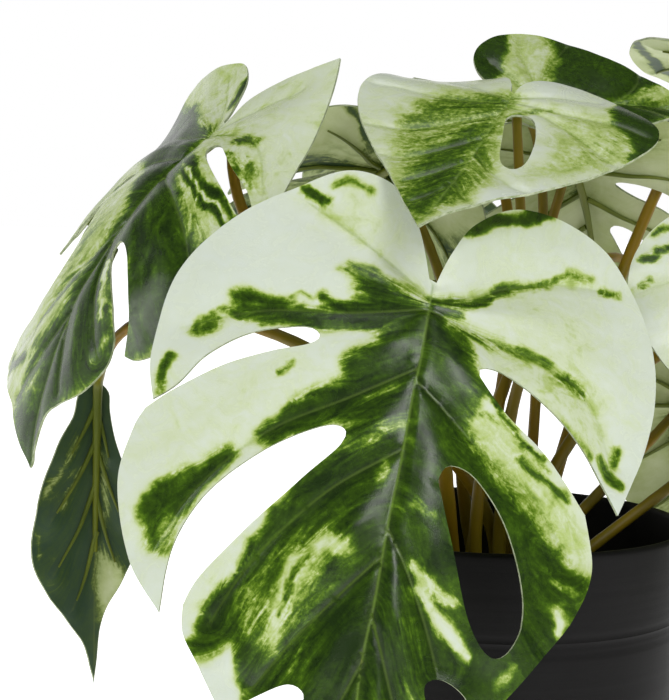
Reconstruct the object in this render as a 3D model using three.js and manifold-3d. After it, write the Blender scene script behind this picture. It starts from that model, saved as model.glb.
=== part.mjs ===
// A potted marble monstera: split, holed leaf blades on thin stems that rise from the
// filled soil of a round matte pot. Millimetres, +Z up. The origin is the middle of the
// pot's flat base, and the front of the plant faces -Y.
import * as THREE from 'three';
import { mergeVertices } from 'three/addons/utils/BufferGeometryUtils.js';
import Module from 'manifold-3d';

const wasm = await Module();
wasm.setup();

// Pot and soil
const POT_HEIGHT = 112;
const POT_RIM_RADIUS = 62.5;
const POT_BASE_RADIUS = 55.5;
const POT_WALL = 3;
const POT_FLOOR = 4;
const POT_SIDES = 56;
const BASE_CHAMFER = 1.5;
const LIP_DEPTH = 1.6;
const LIP_SHOULDER = 0.9;
const SOIL_DEPTH_BELOW_RIM = 30;
const SOIL_CROWN = 1.5;
const SOIL_CROWN_RADII = [22, 39];
const GAP = 0.3;
const RIB_GAP = 0.45;

// Stems stand in plain holes, spread over the middle of the soil in a sunflower spiral
const STEM_HOLE_DEPTH = 15;
const STEM_HOLE_SIDES = 12;
const STEM_SPREAD = 4.1;
const STEM_SPIRAL_DEGREES = 137.5077;
const STEM_SIDES = 8;
const STEM_STEPS = 15;
const STEM_STRAIGHT_ABOVE_SOIL = 1.5;
const KNEE_STEPS = 5;
const RIB_STEPS = 5;
const KNEE_LENGTH = 9;
const KNEE_HANDLE = 4;
const KNEE_SET_BACK = 2;
const RIB_END_RADIUS = 0.8;
const RIB_SHARE = 0.55;
const FOOT_RADIUS = (scale) => 1.75 + 0.75 * scale;
const NECK_RADIUS = (scale) => 1.15 + 0.75 * scale;

// Leaf blades: a blade of scale 1 is about LEAF_LENGTH long from its stem to its tip
const BLADE_THICKNESS = 0.8;
const LEAF_LENGTH = 150;
const LEAF_HALF_WIDTH = 80;
const LOBE_LIFT_START = 8;
const LOBE_LIFT_SPAN = 44;
const LATTICE_STEP = 14;
const LATTICE_MARGIN = 0.55;
const MIDRIB_MARGIN = 0.2;
const EDGE_STEP = 11;
const NORMAL_STEP = 0.1;

// Colours
const POT_COLOUR = 0x2f2f2c;
const SOIL_COLOUR = 0x2a2019;
const STEM_COLOUR = 0x6b6a2f;
const GREEN_COLOUR = 0x3c5a2c;
const CREAM_COLOUR = 0xc4d1b0;

// Flat outlines, x across the blade and y along its midrib from the stem at the origin.
// Each outline runs round the blade in strokes that meet at its sharp corners: from the
// notch out over one side, round the tip and back. Slits are part of the outline.
const HEART_EDGE = [
  [[1, -1], [3, -12], [12, -24], [27, -32], [48, -31], [67, -20], [79, -4], [83, 14], [76, 36],
    [62, 62], [44, 86], [26, 106], [11, 128], [0, 150]],
  [[0, 150], [-12, 132], [-28, 107], [-44, 84], [-60, 62], [-74, 38], [-80, 16], [-76, -4],
    [-64, -20], [-46, -31], [-26, -33], [-12, -25], [-4, -12], [-1, -1]],
];

const MOULDS = {
  wide: {
    edge: [
      [[1, -1], [4, -11], [10, -22], [23, -31], [42, -31], [60, -23], [74, -5], [78, 14], [76, 36], [69, 57]],
      [[69, 57], [57, 43], [42, 31], [27, 24], [19, 23], [17, 26], [26, 35], [41, 45], [57, 60]],
      [[57, 60], [62, 76], [57, 93], [46, 109], [38, 120], [30, 129]],
      [[30, 129], [25, 121], [18, 117], [13, 119], [14, 125], [19, 133], [22, 143]],
      [[22, 143], [14, 156], [-4, 170]],
      [[-4, 170], [-20, 160], [-32, 148]],
      [[-32, 148], [-27, 138], [-22, 131], [-21, 126], [-26, 124], [-34, 128], [-44, 135]],
      [[-44, 135], [-53, 122], [-59, 113], [-60, 105]],
      [[-60, 105], [-56, 96], [-43, 79], [-30, 64], [-20, 53], [-20, 48], [-27, 48], [-42, 56],
        [-58, 71], [-66, 88], [-67, 108]],
      [[-67, 108], [-79, 93], [-86, 70], [-84, 53], [-81, 46]],
      [[-81, 46], [-76, 42], [-70, 38], [-58, 31], [-45, 26], [-34, 23], [-31, 20], [-36, 17],
        [-52, 20], [-64, 28], [-72, 38], [-79, 43]],
      [[-79, 43], [-82, 28], [-79, 3], [-68, -14], [-51, -26], [-30, -35], [-14, -30], [-6, -17], [-1, -1]],
    ],
    hole: [[10, 64], [9, 59], [12, 55], [20, 57], [30, 68], [38, 84], [40, 97], [36, 107], [30, 108],
      [23, 99], [16, 80]],
  },
  lobed: {
    edge: [
      [[1, -1], [2, -13], [12, -26], [33, -42]],
      [[33, -42], [45, -26], [60, 0], [70, 28], [72, 36]],
      [[72, 36], [62, 28], [53, 22], [38, 17], [22, 11], [17, 13], [21, 18], [44, 27], [60, 34], [71, 42]],
      [[71, 42], [76, 60], [73, 82], [64, 96], [55, 103], [49, 103]],
      [[49, 103], [43, 88], [30, 72], [19, 63], [12, 62], [11, 66], [18, 73], [31, 85], [41, 98]],
      [[41, 98], [42, 109], [33, 121], [20, 127], [12, 133], [4, 152]],
      [[4, 152], [-12, 141], [-30, 130], [-50, 122], [-70, 116]],
      [[-70, 116], [-60, 106], [-44, 97], [-33, 86], [-30, 72], [-34, 56], [-38, 46], [-42, 46],
        [-52, 56], [-64, 68]],
      [[-64, 68], [-74, 50], [-77, 28], [-72, 4], [-60, -12], [-48, -21], [-36, -27], [-23, -29],
        [-12, -22], [-5, -11], [-1, -1]],
    ],
    hole: [[-30, 31], [-36, 29], [-44, 33], [-46, 38], [-40, 39], [-32, 36]],
  },
  heart: {
    edge: HEART_EDGE,
    hole: [[5, 25], [12, 20], [20, 25], [26, 44], [28, 64], [25, 74], [19, 74], [14, 66], [9, 46]],
  },
  whole: { edge: HEART_EDGE },
  spear: {
    edge: [
      [[0, -6], [6, -3], [10, 2], [13, 13], [21, 26], [28, 43], [33, 60], [36, 78], [34, 92],
        [26, 105], [15, 118], [6, 129], [2.5, 140], [0, 150]],
      [[0, 150], [-1.5, 138], [-3, 122], [-7, 110], [-15, 97], [-21, 82], [-22, 64], [-17, 44],
        [-10, 24], [-7, 10], [-6, 0], [0, -6]],
    ],
  },
};

// One entry for each leaf. at is the foot of its midrib, heading the way that the midrib
// points seen from above, and pitch how far it points down there. droop bends the blade
// down towards its tip and rear does the same behind the stem. fold and curl give the
// angle of each side at the midrib and how far it bends on to its edge, down when
// negative; lift raises the lobe behind the stem. All angles are in degrees.
// stem: the hole it stands in, its straight rise, how far that leans towards the leaf,
// the reach of its arch and the angle at which it comes up to the blade.
const LEAVES = [
  {
    mould: 'wide', at: [-25, -64, 193], heading: -103, pitch: 58, roll: -10, droop: 22, rear: -10,
    fold: [-4, -15], curl: [-12, -24], lift: [0, 0], scale: 1,
    stem: { hole: 12, rise: 60, lean: 0.51, reach: 9, turn: 122 }, colour: CREAM_COLOUR,
  },
  {
    mould: 'lobed', at: [-91.9, 13, 236.6], heading: -157, pitch: 35, roll: 5.5, droop: 47, rear: -45,
    fold: [8, -3], curl: [-22, -48], lift: [16, 0], scale: 0.86,
    stem: { hole: 9, rise: 100, lean: 0.13, reach: 50, turn: 124 }, colour: GREEN_COLOUR,
  },
  {
    mould: 'spear', at: [-133.2, 32, 146.2], heading: 90, pitch: 95, roll: -12, droop: 10, rear: 10,
    fold: [-22, -22], curl: [-10, -10], lift: [0, 0], scale: 0.65,
    stem: { hole: 1, rise: 48, lean: -0.225, reach: 102, turn: 54.5 }, colour: GREEN_COLOUR,
  },
  {
    mould: 'heart', at: [0, -14, 249.4], heading: -112, pitch: 28, roll: 8, droop: -6, rear: 80,
    fold: [3, -20], curl: [26, -4], lift: [-12, -5], scale: 0.59,
    stem: { hole: 2, rise: 116, lean: 0.66, reach: 128, turn: 124 }, colour: CREAM_COLOUR,
  },
  {
    mould: 'whole', at: [7.8, 26.5, 247.4], heading: 12, pitch: 1, roll: 35, droop: 6, rear: -6,
    fold: [24, 3], curl: [-12, -8], lift: [0, 0], scale: 0.46,
    stem: { hole: 8, rise: 8, lean: 0.84, reach: 30, turn: 125 }, colour: CREAM_COLOUR,
  },
  {
    mould: 'lobed', mirror: true, at: [79.1, 80, 263], heading: 30, pitch: 14, roll: 6, droop: 24,
    rear: -10, fold: [-2, -6], curl: [-4, -12], lift: [0, 0], scale: 0.7,
    stem: { hole: 5, rise: 120, lean: 0.436, reach: 30, turn: 84 }, colour: CREAM_COLOUR,
  },
  {
    mould: 'heart', at: [84.1, -12, 197.1], heading: -70, pitch: 60, roll: -4, droop: 16, rear: -10,
    fold: [-6, -10], curl: [-12, -16], lift: [0, 0], scale: 0.62,
    stem: { hole: 0, rise: 87, lean: 0.22, reach: 39, turn: 105 }, colour: CREAM_COLOUR,
  },
  {
    mould: 'heart', mirror: true, at: [72.2, 68, 146.3], heading: 52, pitch: 66, roll: 0, droop: 22,
    rear: -10, fold: [-8, -8], curl: [-16, -16], lift: [0, 0], scale: 0.6,
    stem: { hole: 11, rise: 18, lean: 0.24, reach: 12, turn: 103 }, colour: GREEN_COLOUR,
  },
  {
    mould: 'wide', mirror: true, at: [26.3, 50, 228.3], heading: 66, pitch: 39, roll: 12, droop: 40,
    rear: -15, fold: [14, -28], curl: [8, -24], lift: [0, 0], scale: 0.63,
    stem: { hole: 3, rise: 87, lean: -0.24, reach: 130, turn: 115 }, colour: GREEN_COLOUR,
  },
  {
    mould: 'wide', at: [-37.4, 34, 225.4], heading: 128, pitch: 23, roll: 10, droop: 22, rear: -25,
    fold: [-32, 2], curl: [-25, -18], lift: [0, 18], scale: 0.61,
    stem: { hole: 6, rise: 65, lean: 0.54, reach: 89, turn: 63 }, colour: CREAM_COLOUR,
  },
  {
    mould: 'lobed', at: [-17, 74, 245.8], heading: 106, pitch: 20, roll: 0, droop: 40, rear: -15,
    fold: [-6, -6], curl: [-14, -14], lift: [0, 0], scale: 0.58,
    stem: { hole: 4, rise: 18, lean: 0.314, reach: 127, turn: 30 }, colour: GREEN_COLOUR,
  },
  {
    mould: 'wide', at: [84, -4, 146], heading: -26, pitch: 46, roll: 0, droop: 30, rear: -15,
    fold: [-8, -8], curl: [-18, -18], lift: [0, 0], scale: 0.56,
    stem: { hole: 10, rise: 10, lean: 0.1, reach: 12, turn: 90 }, colour: CREAM_COLOUR,
  },
  {
    mould: 'lobed', mirror: true, at: [58, 100, 182], heading: 74, pitch: 42, roll: 0, droop: 28,
    rear: -15, fold: [-8, -8], curl: [-18, -18], lift: [0, 0], scale: 0.52,
    stem: { hole: 7, rise: 79, lean: -0.21, reach: 98, turn: 22 }, colour: GREEN_COLOUR,
  },
];

const radians = THREE.MathUtils.degToRad;
const vec = (x, y, z) => new THREE.Vector3(x, y, z);
const SOIL_TOP = POT_HEIGHT - SOIL_DEPTH_BELOW_RIM;
const root = new THREE.Group();

function addMesh(name, geometry, colour, roughness) {
  const material = new THREE.MeshStandardMaterial({ color: colour, roughness, metalness: 0 });
  const mesh = new THREE.Mesh(geometry, material);
  mesh.name = name;
  root.add(mesh);
  return mesh;
}

function geometryFrom(vertices, triangles) {
  const geometry = new THREE.BufferGeometry();
  geometry.setAttribute('position', new THREE.Float32BufferAttribute(vertices, 3));
  geometry.setIndex(triangles);
  return geometry;
}

// Surface of revolution about +Z, from a profile of [radius, height] that starts and
// ends on the axis, lowest point first
function turned(profile, sides) {
  const geometry = new THREE.LatheGeometry(profile.map(([r, z]) => new THREE.Vector2(r, z)), sides);
  geometry.rotateX(Math.PI / 2);
  geometry.deleteAttribute('normal');
  geometry.deleteAttribute('uv');
  return mergeVertices(geometry, 1e-4);
}

function toSolid(geometry) {
  return new wasm.Manifold(new wasm.Mesh({
    numProp: 3,
    vertProperties: new Float32Array(geometry.attributes.position.array),
    triVerts: new Uint32Array(geometry.index.array),
  }));
}

function fromSolid(solid) {
  const mesh = solid.getMesh();
  return geometryFrom(Array.from(mesh.vertProperties), Array.from(mesh.triVerts));
}

// Uniform Catmull-Rom point between b and c
function splinePoint(a, b, c, d, t) {
  const at = (i) => 0.5 * (2 * b[i] + (c[i] - a[i]) * t + (2 * a[i] - 5 * b[i] + 4 * c[i] - d[i]) * t * t
    + (3 * b[i] - a[i] - 3 * c[i] + d[i]) * t * t * t);
  return [at(0), at(1)];
}

// Points along a stroke, its last point left out, with extra ones on the long spans
function dividedStroke(points, step, closed) {
  const count = points.length;
  const pick = (i) => (closed ? points[(i + count) % count] : points[Math.min(Math.max(i, 0), count - 1)]);
  const out = [];
  for (let i = 0; i < (closed ? count : count - 1); i += 1) {
    const [b, c] = [pick(i), pick(i + 1)];
    const pieces = Math.max(1, Math.round(Math.hypot(c[0] - b[0], c[1] - b[1]) / step));
    for (let k = 0; k < pieces; k += 1) out.push(splinePoint(pick(i - 1), b, c, pick(i + 2), k / pieces));
  }
  return out;
}

function flatLoops(leaf) {
  const mould = MOULDS[leaf.mould];
  const step = EDGE_STEP / Math.sqrt(leaf.scale);
  const loops = [mould.edge.flatMap((stroke) => dividedStroke(stroke, step, false))];
  if (mould.hole) loops.push(dividedStroke(mould.hole, step, true));
  const side = leaf.mirror ? -1 : 1;
  return loops.map((loop) => loop.map(([x, y]) => new THREE.Vector2(side * x, y)));
}

const cross2 = (a, b, c) => (b.x - a.x) * (c.y - a.y) - (b.y - a.y) * (c.x - a.x);

function angleAt(p, a, b) {
  return Math.acos(THREE.MathUtils.clamp(
    a.clone().sub(p).normalize().dot(b.clone().sub(p).normalize()), -1, 1));
}

function isInside(p, loop) {
  let inside = false;
  loop.forEach((a, i) => {
    const b = loop[(i + 1) % loop.length];
    const spans = (a.y > p.y) !== (b.y > p.y);
    if (spans && p.x < ((b.x - a.x) * (p.y - a.y)) / (b.y - a.y) + a.x) inside = !inside;
  });
  return inside;
}

// Lattice of points inside the blade, with a closer row on the midrib, where it folds
function latticePoints(loops, step) {
  const rim = loops.flat();
  const box = new THREE.Box2().setFromPoints(rim);
  const column = step * Math.sqrt(3) / 2;
  const out = [];
  for (let i = Math.ceil(box.min.x / column); i * column < box.max.x; i += 1) {
    const shift = i % 2 === 0 ? 0 : step / 2;
    const row = i === 0 ? step / 2 : step;
    const margin = step * (i === 0 ? MIDRIB_MARGIN : LATTICE_MARGIN);
    for (let j = Math.ceil(box.min.y / row); j * row + shift < box.max.y; j += 1) {
      const p = new THREE.Vector2(i * column, j * row + shift);
      const inBlade = loops.filter((loop) => isInside(p, loop)).length === 1;
      if (inBlade && rim.every((q) => q.distanceTo(p) > margin)) out.push(p);
    }
  }
  return out;
}

// Flips inner edges until no triangle's opposite corner lies in its circle
function relax(points, triangles) {
  let flips = 1;
  while (flips > 0) {
    flips = 0;
    const owners = new Map();
    triangles.forEach((t, index) => t.forEach((a, k) => owners.set(`${a},${t[(k + 1) % 3]}`, index)));
    const touched = new Set();
    for (const [key, first] of owners) {
      const [a, b] = key.split(',').map(Number);
      const second = owners.get(`${b},${a}`);
      if (second === undefined || touched.has(first) || touched.has(second)) continue;
      const c = triangles[first].find((v) => v !== a && v !== b);
      const d = triangles[second].find((v) => v !== a && v !== b);
      const [A, B, C, D] = [a, b, c, d].map((v) => points[v]);
      const open = angleAt(C, A, B) + angleAt(D, A, B) > Math.PI + 1e-6;
      if (!open || cross2(A, D, C) < 1e-6 || cross2(D, B, C) < 1e-6) continue;
      triangles[first] = [a, d, c];
      triangles[second] = [d, b, c];
      touched.add(first).add(second);
      flips += 1;
    }
  }
}

// Triangles over the flat blade, counter-clockwise, on its rim points and lattice points
function flatTriangles(leaf) {
  const loops = flatLoops(leaf);
  const points = loops.flat();
  const triangles = THREE.ShapeUtils.triangulateShape(loops[0], loops.slice(1)).map(([a, b, c]) => (
    cross2(points[a], points[b], points[c]) > 0 ? [a, b, c] : [a, c, b]));
  for (const p of latticePoints(loops, LATTICE_STEP / Math.sqrt(leaf.scale))) {
    const index = points.push(p) - 1;
    const home = triangles.findIndex((t) => (
      t.every((a, k) => cross2(points[a], points[t[(k + 1) % 3]], p) >= 0)));
    const [a, b, c] = triangles[home];
    triangles.splice(home, 1, [a, b, index], [b, c, index], [c, a, index]);
  }
  relax(points, triangles);
  return { points, triangles };
}

// Integral of (cos, sin) of an angle that starts at start and grows by rate per length
function arc(start, rate, length) {
  if (Math.abs(rate) < 1e-9) return [Math.cos(start) * length, Math.sin(start) * length];
  const end = start + rate * length;
  return [(Math.sin(end) - Math.sin(start)) / rate, (Math.cos(start) - Math.cos(end)) / rate];
}

// The blade's midrib at a length y from the stem: its angle down, its point and its
// normal, in the leaf's own frame, where +X is the heading and +Z is up
function midrib(leaf, y) {
  const rate = radians(y >= 0 ? leaf.droop : leaf.rear) / (LEAF_LENGTH * leaf.scale);
  const start = radians(leaf.pitch);
  const [forward, down] = arc(start, rate, y);
  const angle = start + rate * y;
  return { point: vec(forward, 0, -down), normal: vec(Math.sin(angle), 0, Math.cos(angle)) };
}

function rolled(leaf, v) {
  const axis = vec(Math.cos(radians(leaf.pitch)), 0, -Math.sin(radians(leaf.pitch)));
  return v.clone().applyAxisAngle(axis, radians(leaf.roll));
}

// A point of the blade's middle surface from its flat outline coordinates. side picks
// the half whose fold is used on the midrib itself.
function bladePoint(leaf, flatX, flatY, side = Math.sign(flatX) || 1) {
  const half = side < 0 ? 0 : 1;
  const rib = midrib(leaf, flatY * leaf.scale);
  const t = THREE.MathUtils.smoothstep(LOBE_LIFT_START - flatY, 0, LOBE_LIFT_SPAN);
  const fold = radians(leaf.fold[half] + leaf.lift[half] * t);
  const rate = radians(leaf.curl[half]) / (LEAF_HALF_WIDTH * leaf.scale);
  const [across, up] = arc(fold, rate, Math.abs(flatX) * leaf.scale);
  const point = rib.point.addScaledVector(rib.normal, up);
  point.y += side * across;
  return rolled(leaf, point);
}

function halfNormal(leaf, p, side) {
  const here = bladePoint(leaf, p.x, p.y, side);
  const along = bladePoint(leaf, p.x, p.y + NORMAL_STEP, side).sub(here);
  const across = bladePoint(leaf, p.x + NORMAL_STEP * side, p.y, side).sub(here).multiplyScalar(side);
  return along.cross(across).normalize();
}

// From the middle surface to the top face, mitred where the two halves meet
function faceOffset(leaf, p) {
  const left = halfNormal(leaf, p, p.x > 0 ? 1 : -1);
  const right = halfNormal(leaf, p, p.x < 0 ? -1 : 1);
  const mean = left.clone().add(right).normalize();
  return mean.multiplyScalar(BLADE_THICKNESS / 2 / mean.dot(left));
}

function bladeGeometry(leaf) {
  const { points, triangles } = flatTriangles(leaf);
  const middle = points.map((p) => bladePoint(leaf, p.x, p.y));
  const offsets = points.map((p) => faceOffset(leaf, p));
  const top = middle.map((m, i) => m.clone().add(offsets[i]));
  const bottom = middle.map((m, i) => m.clone().sub(offsets[i]));
  const vertices = [...top, ...bottom].flatMap((v) => v.toArray());
  const under = points.length;
  const directed = new Set(triangles.flatMap((t) => t.map((a, k) => `${a},${t[(k + 1) % 3]}`)));
  const faces = triangles.flatMap(([a, b, c]) => [a, c, b, a + under, b + under, c + under]);
  for (const key of directed) {
    const [a, b] = key.split(',').map(Number);
    if (!directed.has(`${b},${a}`)) faces.push(b + under, a + under, a, b + under, a, b);
  }
  return geometryFrom(vertices, faces);
}

// Round bar through the points, with a radius at each point and flat ends
function sweep(path, radii, sides) {
  const tangents = path.map((p, i) => (
    path[Math.min(i + 1, path.length - 1)].clone().sub(path[Math.max(i - 1, 0)]).normalize()));
  let across = vec(1, 0, 0);
  const vertices = [];
  path.forEach((p, i) => {
    across = across.clone().addScaledVector(tangents[i], -across.dot(tangents[i])).normalize();
    const other = tangents[i].clone().cross(across);
    for (let k = 0; k < sides; k += 1) {
      const angle = (2 * Math.PI * k) / sides;
      const ring = p.clone().addScaledVector(across, radii[i] * Math.cos(angle));
      vertices.push(...ring.addScaledVector(other, radii[i] * Math.sin(angle)).toArray());
    }
  });
  const faces = [];
  for (let i = 0; i + 1 < path.length; i += 1) {
    for (let k = 0; k < sides; k += 1) {
      const [a, b] = [i * sides + k, i * sides + ((k + 1) % sides)];
      faces.push(a, b, b + sides, a, b + sides, a + sides);
    }
  }
  const last = (path.length - 1) * sides;
  for (let k = 1; k + 1 < sides; k += 1) faces.push(0, k + 1, k, last, last + k, last + k + 1);
  return geometryFrom(vertices, faces);
}

function holeCentre(index) {
  const angle = radians(STEM_SPIRAL_DEGREES * index);
  const radius = STEM_SPREAD * Math.sqrt(index + 0.5);
  return vec(radius * Math.cos(angle), radius * Math.sin(angle), SOIL_TOP);
}

function placed(leaf, v) {
  return v.clone().applyAxisAngle(vec(0, 0, 1), radians(leaf.heading)).add(vec(...leaf.at));
}

function turnedTo(leaf, v) {
  return rolled(leaf, v).applyAxisAngle(vec(0, 0, 1), radians(leaf.heading));
}

// The stem's way: straight up out of its hole, an arch to the leaf, a knee, and on
// along the blade's underside as its midrib
function stemPath(leaf) {
  const { hole, rise, lean, reach, turn } = leaf.stem;
  const neck = NECK_RADIUS(leaf.scale);
  const steepest = Math.max(0, -Math.min(...leaf.fold));
  const drop = (radius) => (BLADE_THICKNESS / 2 + RIB_GAP + radius) / Math.cos(radians(steepest));
  const ribPoint = (y, radius) => {
    const { point, normal } = midrib(leaf, y);
    return placed(leaf, rolled(leaf, point.addScaledVector(normal, -drop(radius))));
  };
  const pitch = radians(leaf.pitch);
  const along = turnedTo(leaf, vec(Math.cos(pitch), 0, -Math.sin(pitch)));
  const normal = turnedTo(leaf, vec(Math.sin(pitch), 0, Math.cos(pitch)));
  const arriving = along.clone().multiplyScalar(Math.cos(radians(turn)))
    .addScaledVector(normal, Math.sin(radians(turn)));
  const collar = ribPoint(0, neck);
  const knee = collar.clone().addScaledVector(along, -KNEE_SET_BACK).addScaledVector(arriving, -KNEE_LENGTH);
  const foot = holeCentre(hole);
  const top = vec(...leaf.at);
  const up = foot.clone().add(vec((top.x - foot.x) * lean, (top.y - foot.y) * lean, rise));
  foot.z += STEM_STRAIGHT_ABOVE_SOIL;
  const arch = new THREE.CubicBezierCurve3(foot, up, knee.clone().addScaledVector(arriving, -reach), knee);
  const bend = new THREE.CubicBezierCurve3(
    knee,
    knee.clone().addScaledVector(arriving, KNEE_HANDLE),
    collar.clone().addScaledVector(along, -KNEE_HANDLE),
    collar,
  );
  const points = [foot.clone().setZ(SOIL_TOP - STEM_HOLE_DEPTH + GAP), foot];
  const radii = [FOOT_RADIUS(leaf.scale), FOOT_RADIUS(leaf.scale)];
  arch.getSpacedPoints(STEM_STEPS).slice(1).forEach((p, i) => {
    points.push(p);
    radii.push(THREE.MathUtils.lerp(FOOT_RADIUS(leaf.scale), neck, (i + 1) / STEM_STEPS));
  });
  bend.getPoints(KNEE_STEPS).slice(1).forEach((p) => {
    points.push(p);
    radii.push(neck);
  });
  for (let i = 1; i <= RIB_STEPS; i += 1) {
    const share = i / RIB_STEPS;
    const radius = THREE.MathUtils.lerp(neck, RIB_END_RADIUS, share);
    points.push(ribPoint(share * RIB_SHARE * LEAF_LENGTH * leaf.scale, radius));
    radii.push(radius);
  }
  return { points, radii };
}

// Pot: tapered wall, flat floor and a thin rounded lip
const potRadiusAt = (z) => THREE.MathUtils.lerp(POT_BASE_RADIUS, POT_RIM_RADIUS, z / POT_HEIGHT);
const insideRadiusAt = (z) => potRadiusAt(z) - POT_WALL;
addMesh('pot', turned([
  [0, 0],
  [POT_BASE_RADIUS - BASE_CHAMFER, 0],
  [potRadiusAt(BASE_CHAMFER), BASE_CHAMFER],
  [potRadiusAt(POT_HEIGHT - LIP_DEPTH), POT_HEIGHT - LIP_DEPTH],
  [POT_RIM_RADIUS - LIP_SHOULDER, POT_HEIGHT],
  [POT_RIM_RADIUS - POT_WALL + LIP_SHOULDER, POT_HEIGHT],
  [insideRadiusAt(POT_HEIGHT - LIP_DEPTH), POT_HEIGHT - LIP_DEPTH],
  [insideRadiusAt(POT_FLOOR), POT_FLOOR],
  [0, POT_FLOOR],
], POT_SIDES), POT_COLOUR, 0.85);

// Soil: fills the pot to a slightly crowned top, with a plain hole for each stem
const soilRadiusAt = (z) => insideRadiusAt(z) - GAP;
let soil = toSolid(turned([
  [0, POT_FLOOR + GAP],
  [soilRadiusAt(POT_FLOOR + GAP), POT_FLOOR + GAP],
  [soilRadiusAt(SOIL_TOP - SOIL_CROWN), SOIL_TOP - SOIL_CROWN],
  [SOIL_CROWN_RADII[1], SOIL_TOP - SOIL_CROWN / 2],
  [SOIL_CROWN_RADII[0], SOIL_TOP],
  [0, SOIL_TOP],
], POT_SIDES));
for (const leaf of LEAVES) {
  const radius = (FOOT_RADIUS(leaf.scale) + GAP) / Math.cos(Math.PI / STEM_HOLE_SIDES);
  const drill = new THREE.CylinderGeometry(radius, radius, STEM_HOLE_DEPTH * 2, STEM_HOLE_SIDES);
  drill.rotateX(Math.PI / 2);
  const foot = holeCentre(leaf.stem.hole);
  drill.translate(foot.x, foot.y, SOIL_TOP);
  drill.deleteAttribute('normal');
  drill.deleteAttribute('uv');
  soil = soil.subtract(toSolid(mergeVertices(drill, 1e-4)));
}
addMesh('soil', fromSolid(soil), SOIL_COLOUR, 1);

// Stems and leaves
LEAVES.forEach((leaf, i) => {
  const number = String(i + 1).padStart(2, '0');
  const { points, radii } = stemPath(leaf);
  addMesh(`stem-${number}`, sweep(points, radii, STEM_SIDES), STEM_COLOUR, 0.6);
  const blade = addMesh(`leaf-${number}`, bladeGeometry(leaf), leaf.colour, 0.4);
  blade.position.set(...leaf.at);
  blade.rotation.z = radians(leaf.heading);
});

export default root;
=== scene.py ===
"""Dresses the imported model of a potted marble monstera: printed leaf blades with moulded
ribs, olive stems, dark soil and a matte charcoal pot, on a plain pale studio floor."""

import math

import bpy
import numpy as np
from mathutils import Matrix, Vector
from mathutils.geometry import delaunay_2d_cdt


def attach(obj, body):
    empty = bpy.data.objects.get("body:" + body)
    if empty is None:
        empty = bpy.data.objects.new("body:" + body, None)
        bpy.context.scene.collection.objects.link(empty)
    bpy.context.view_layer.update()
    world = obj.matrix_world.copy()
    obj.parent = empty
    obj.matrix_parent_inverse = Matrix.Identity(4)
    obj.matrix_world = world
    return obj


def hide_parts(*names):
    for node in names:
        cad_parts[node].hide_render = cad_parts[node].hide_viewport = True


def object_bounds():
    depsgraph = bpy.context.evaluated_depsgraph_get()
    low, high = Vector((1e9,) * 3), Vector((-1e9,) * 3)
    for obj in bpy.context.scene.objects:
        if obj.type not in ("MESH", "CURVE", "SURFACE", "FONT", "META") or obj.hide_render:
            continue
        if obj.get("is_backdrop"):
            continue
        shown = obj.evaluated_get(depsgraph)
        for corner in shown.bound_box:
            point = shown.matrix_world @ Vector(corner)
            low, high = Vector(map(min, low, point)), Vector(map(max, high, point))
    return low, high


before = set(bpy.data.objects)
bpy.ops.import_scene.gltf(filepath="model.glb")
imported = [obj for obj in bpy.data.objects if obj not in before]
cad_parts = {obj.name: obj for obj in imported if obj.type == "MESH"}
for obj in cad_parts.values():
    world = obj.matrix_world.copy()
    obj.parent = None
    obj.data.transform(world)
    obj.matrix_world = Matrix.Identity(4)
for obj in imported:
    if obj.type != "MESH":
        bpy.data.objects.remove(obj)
cad_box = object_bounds()

MM = 0.001

# Pot and soil, in millimetres. Each groove in the pot has a height and a depth.
POT_HEIGHT = 112.0
POT_RIM_RADIUS = 62.5
POT_BASE_RADIUS = 55.5
POT_WALL = 3.0
POT_FLOOR = 4.0
POT_GROOVES = [(82.6, 0.6), (80.4, 0.45), (85.2, 0.35), (24.0, 0.18), (26.2, 0.12)]
GROOVE_WIDTH = 0.7
LIP_HEIGHT = 1.5
SOIL_TOP = 82.0
SOIL_GAP = 0.3
CRUMBS = 420

# Stems, in millimetres
STEM_SPREAD = 4.1
STEM_SPIRAL_DEGREES = 137.5077
STEM_HOLE_DEPTH = 15.0
STEM_STRAIGHT_ABOVE_SOIL = 1.5
KNEE_LENGTH = 9.0
KNEE_HANDLE = 4.0
KNEE_SET_BACK = 2.0
RIB_END_RADIUS = 0.8
RIB_SHARE = 0.55
RIB_GAP = 0.45

# Points along a stem: its arch up to the knee, the bend after it, the rib under the blade
ARCH_POINTS = 44
BEND_POINTS = 12
RIB_POINTS = 14

# Leaf blades, in millimetres
BLADE_THICKNESS = 0.8
LEAF_LENGTH = 150.0
LEAF_HALF_WIDTH = 80.0
LOBE_LIFT_START = 8.0
LOBE_LIFT_SPAN = 44.0
EDGE_STEP = 1.5
BLADE_STEP = 1.5

# Rows of points at both sides of each vein, and how wide the vein's sunk line is
VEIN_ROW = 0.65
VEIN_BAND = 2.3
VEIN_WIDTH = 0.9

# Relief of a blade: depth of its midrib, height of the panels and width of their slopes
MIDRIB_DEPTH = 0.55
PANEL_HEIGHT = 2.7
PANEL_SLOPE = 6.5

# Ribs moulded under the side veins: radius at the midrib and at the end, and sides
VEIN_RIB_RADIUS = 1.25
VEIN_RIB_END_RADIUS = 0.4
VEIN_RIB_SIDES = 7

# Material slots of a blade, the millimetres in one unit of its maps, and the distance
# that stands for a vein on the other half
TOP_FACE, UNDER_FACE, RIB_FACE, CUT_EDGE = range(4)
UV_UNIT = 100.0
FAR = 1e3

# The camera, fitted to the photograph: place in metres, turns in degrees, and focal length
# in pixels of a picture 700 pixels high
CAMERA_PLACE = (-0.05376, -0.83321, 0.25936)
CAMERA_PITCH = 6.4065
CAMERA_ROLL = 1.3225
CAMERA_FOCAL_PIXELS = 2599.3
CAMERA_LONG_SIDE = 700
SENSOR_WIDTH = 36

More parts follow.
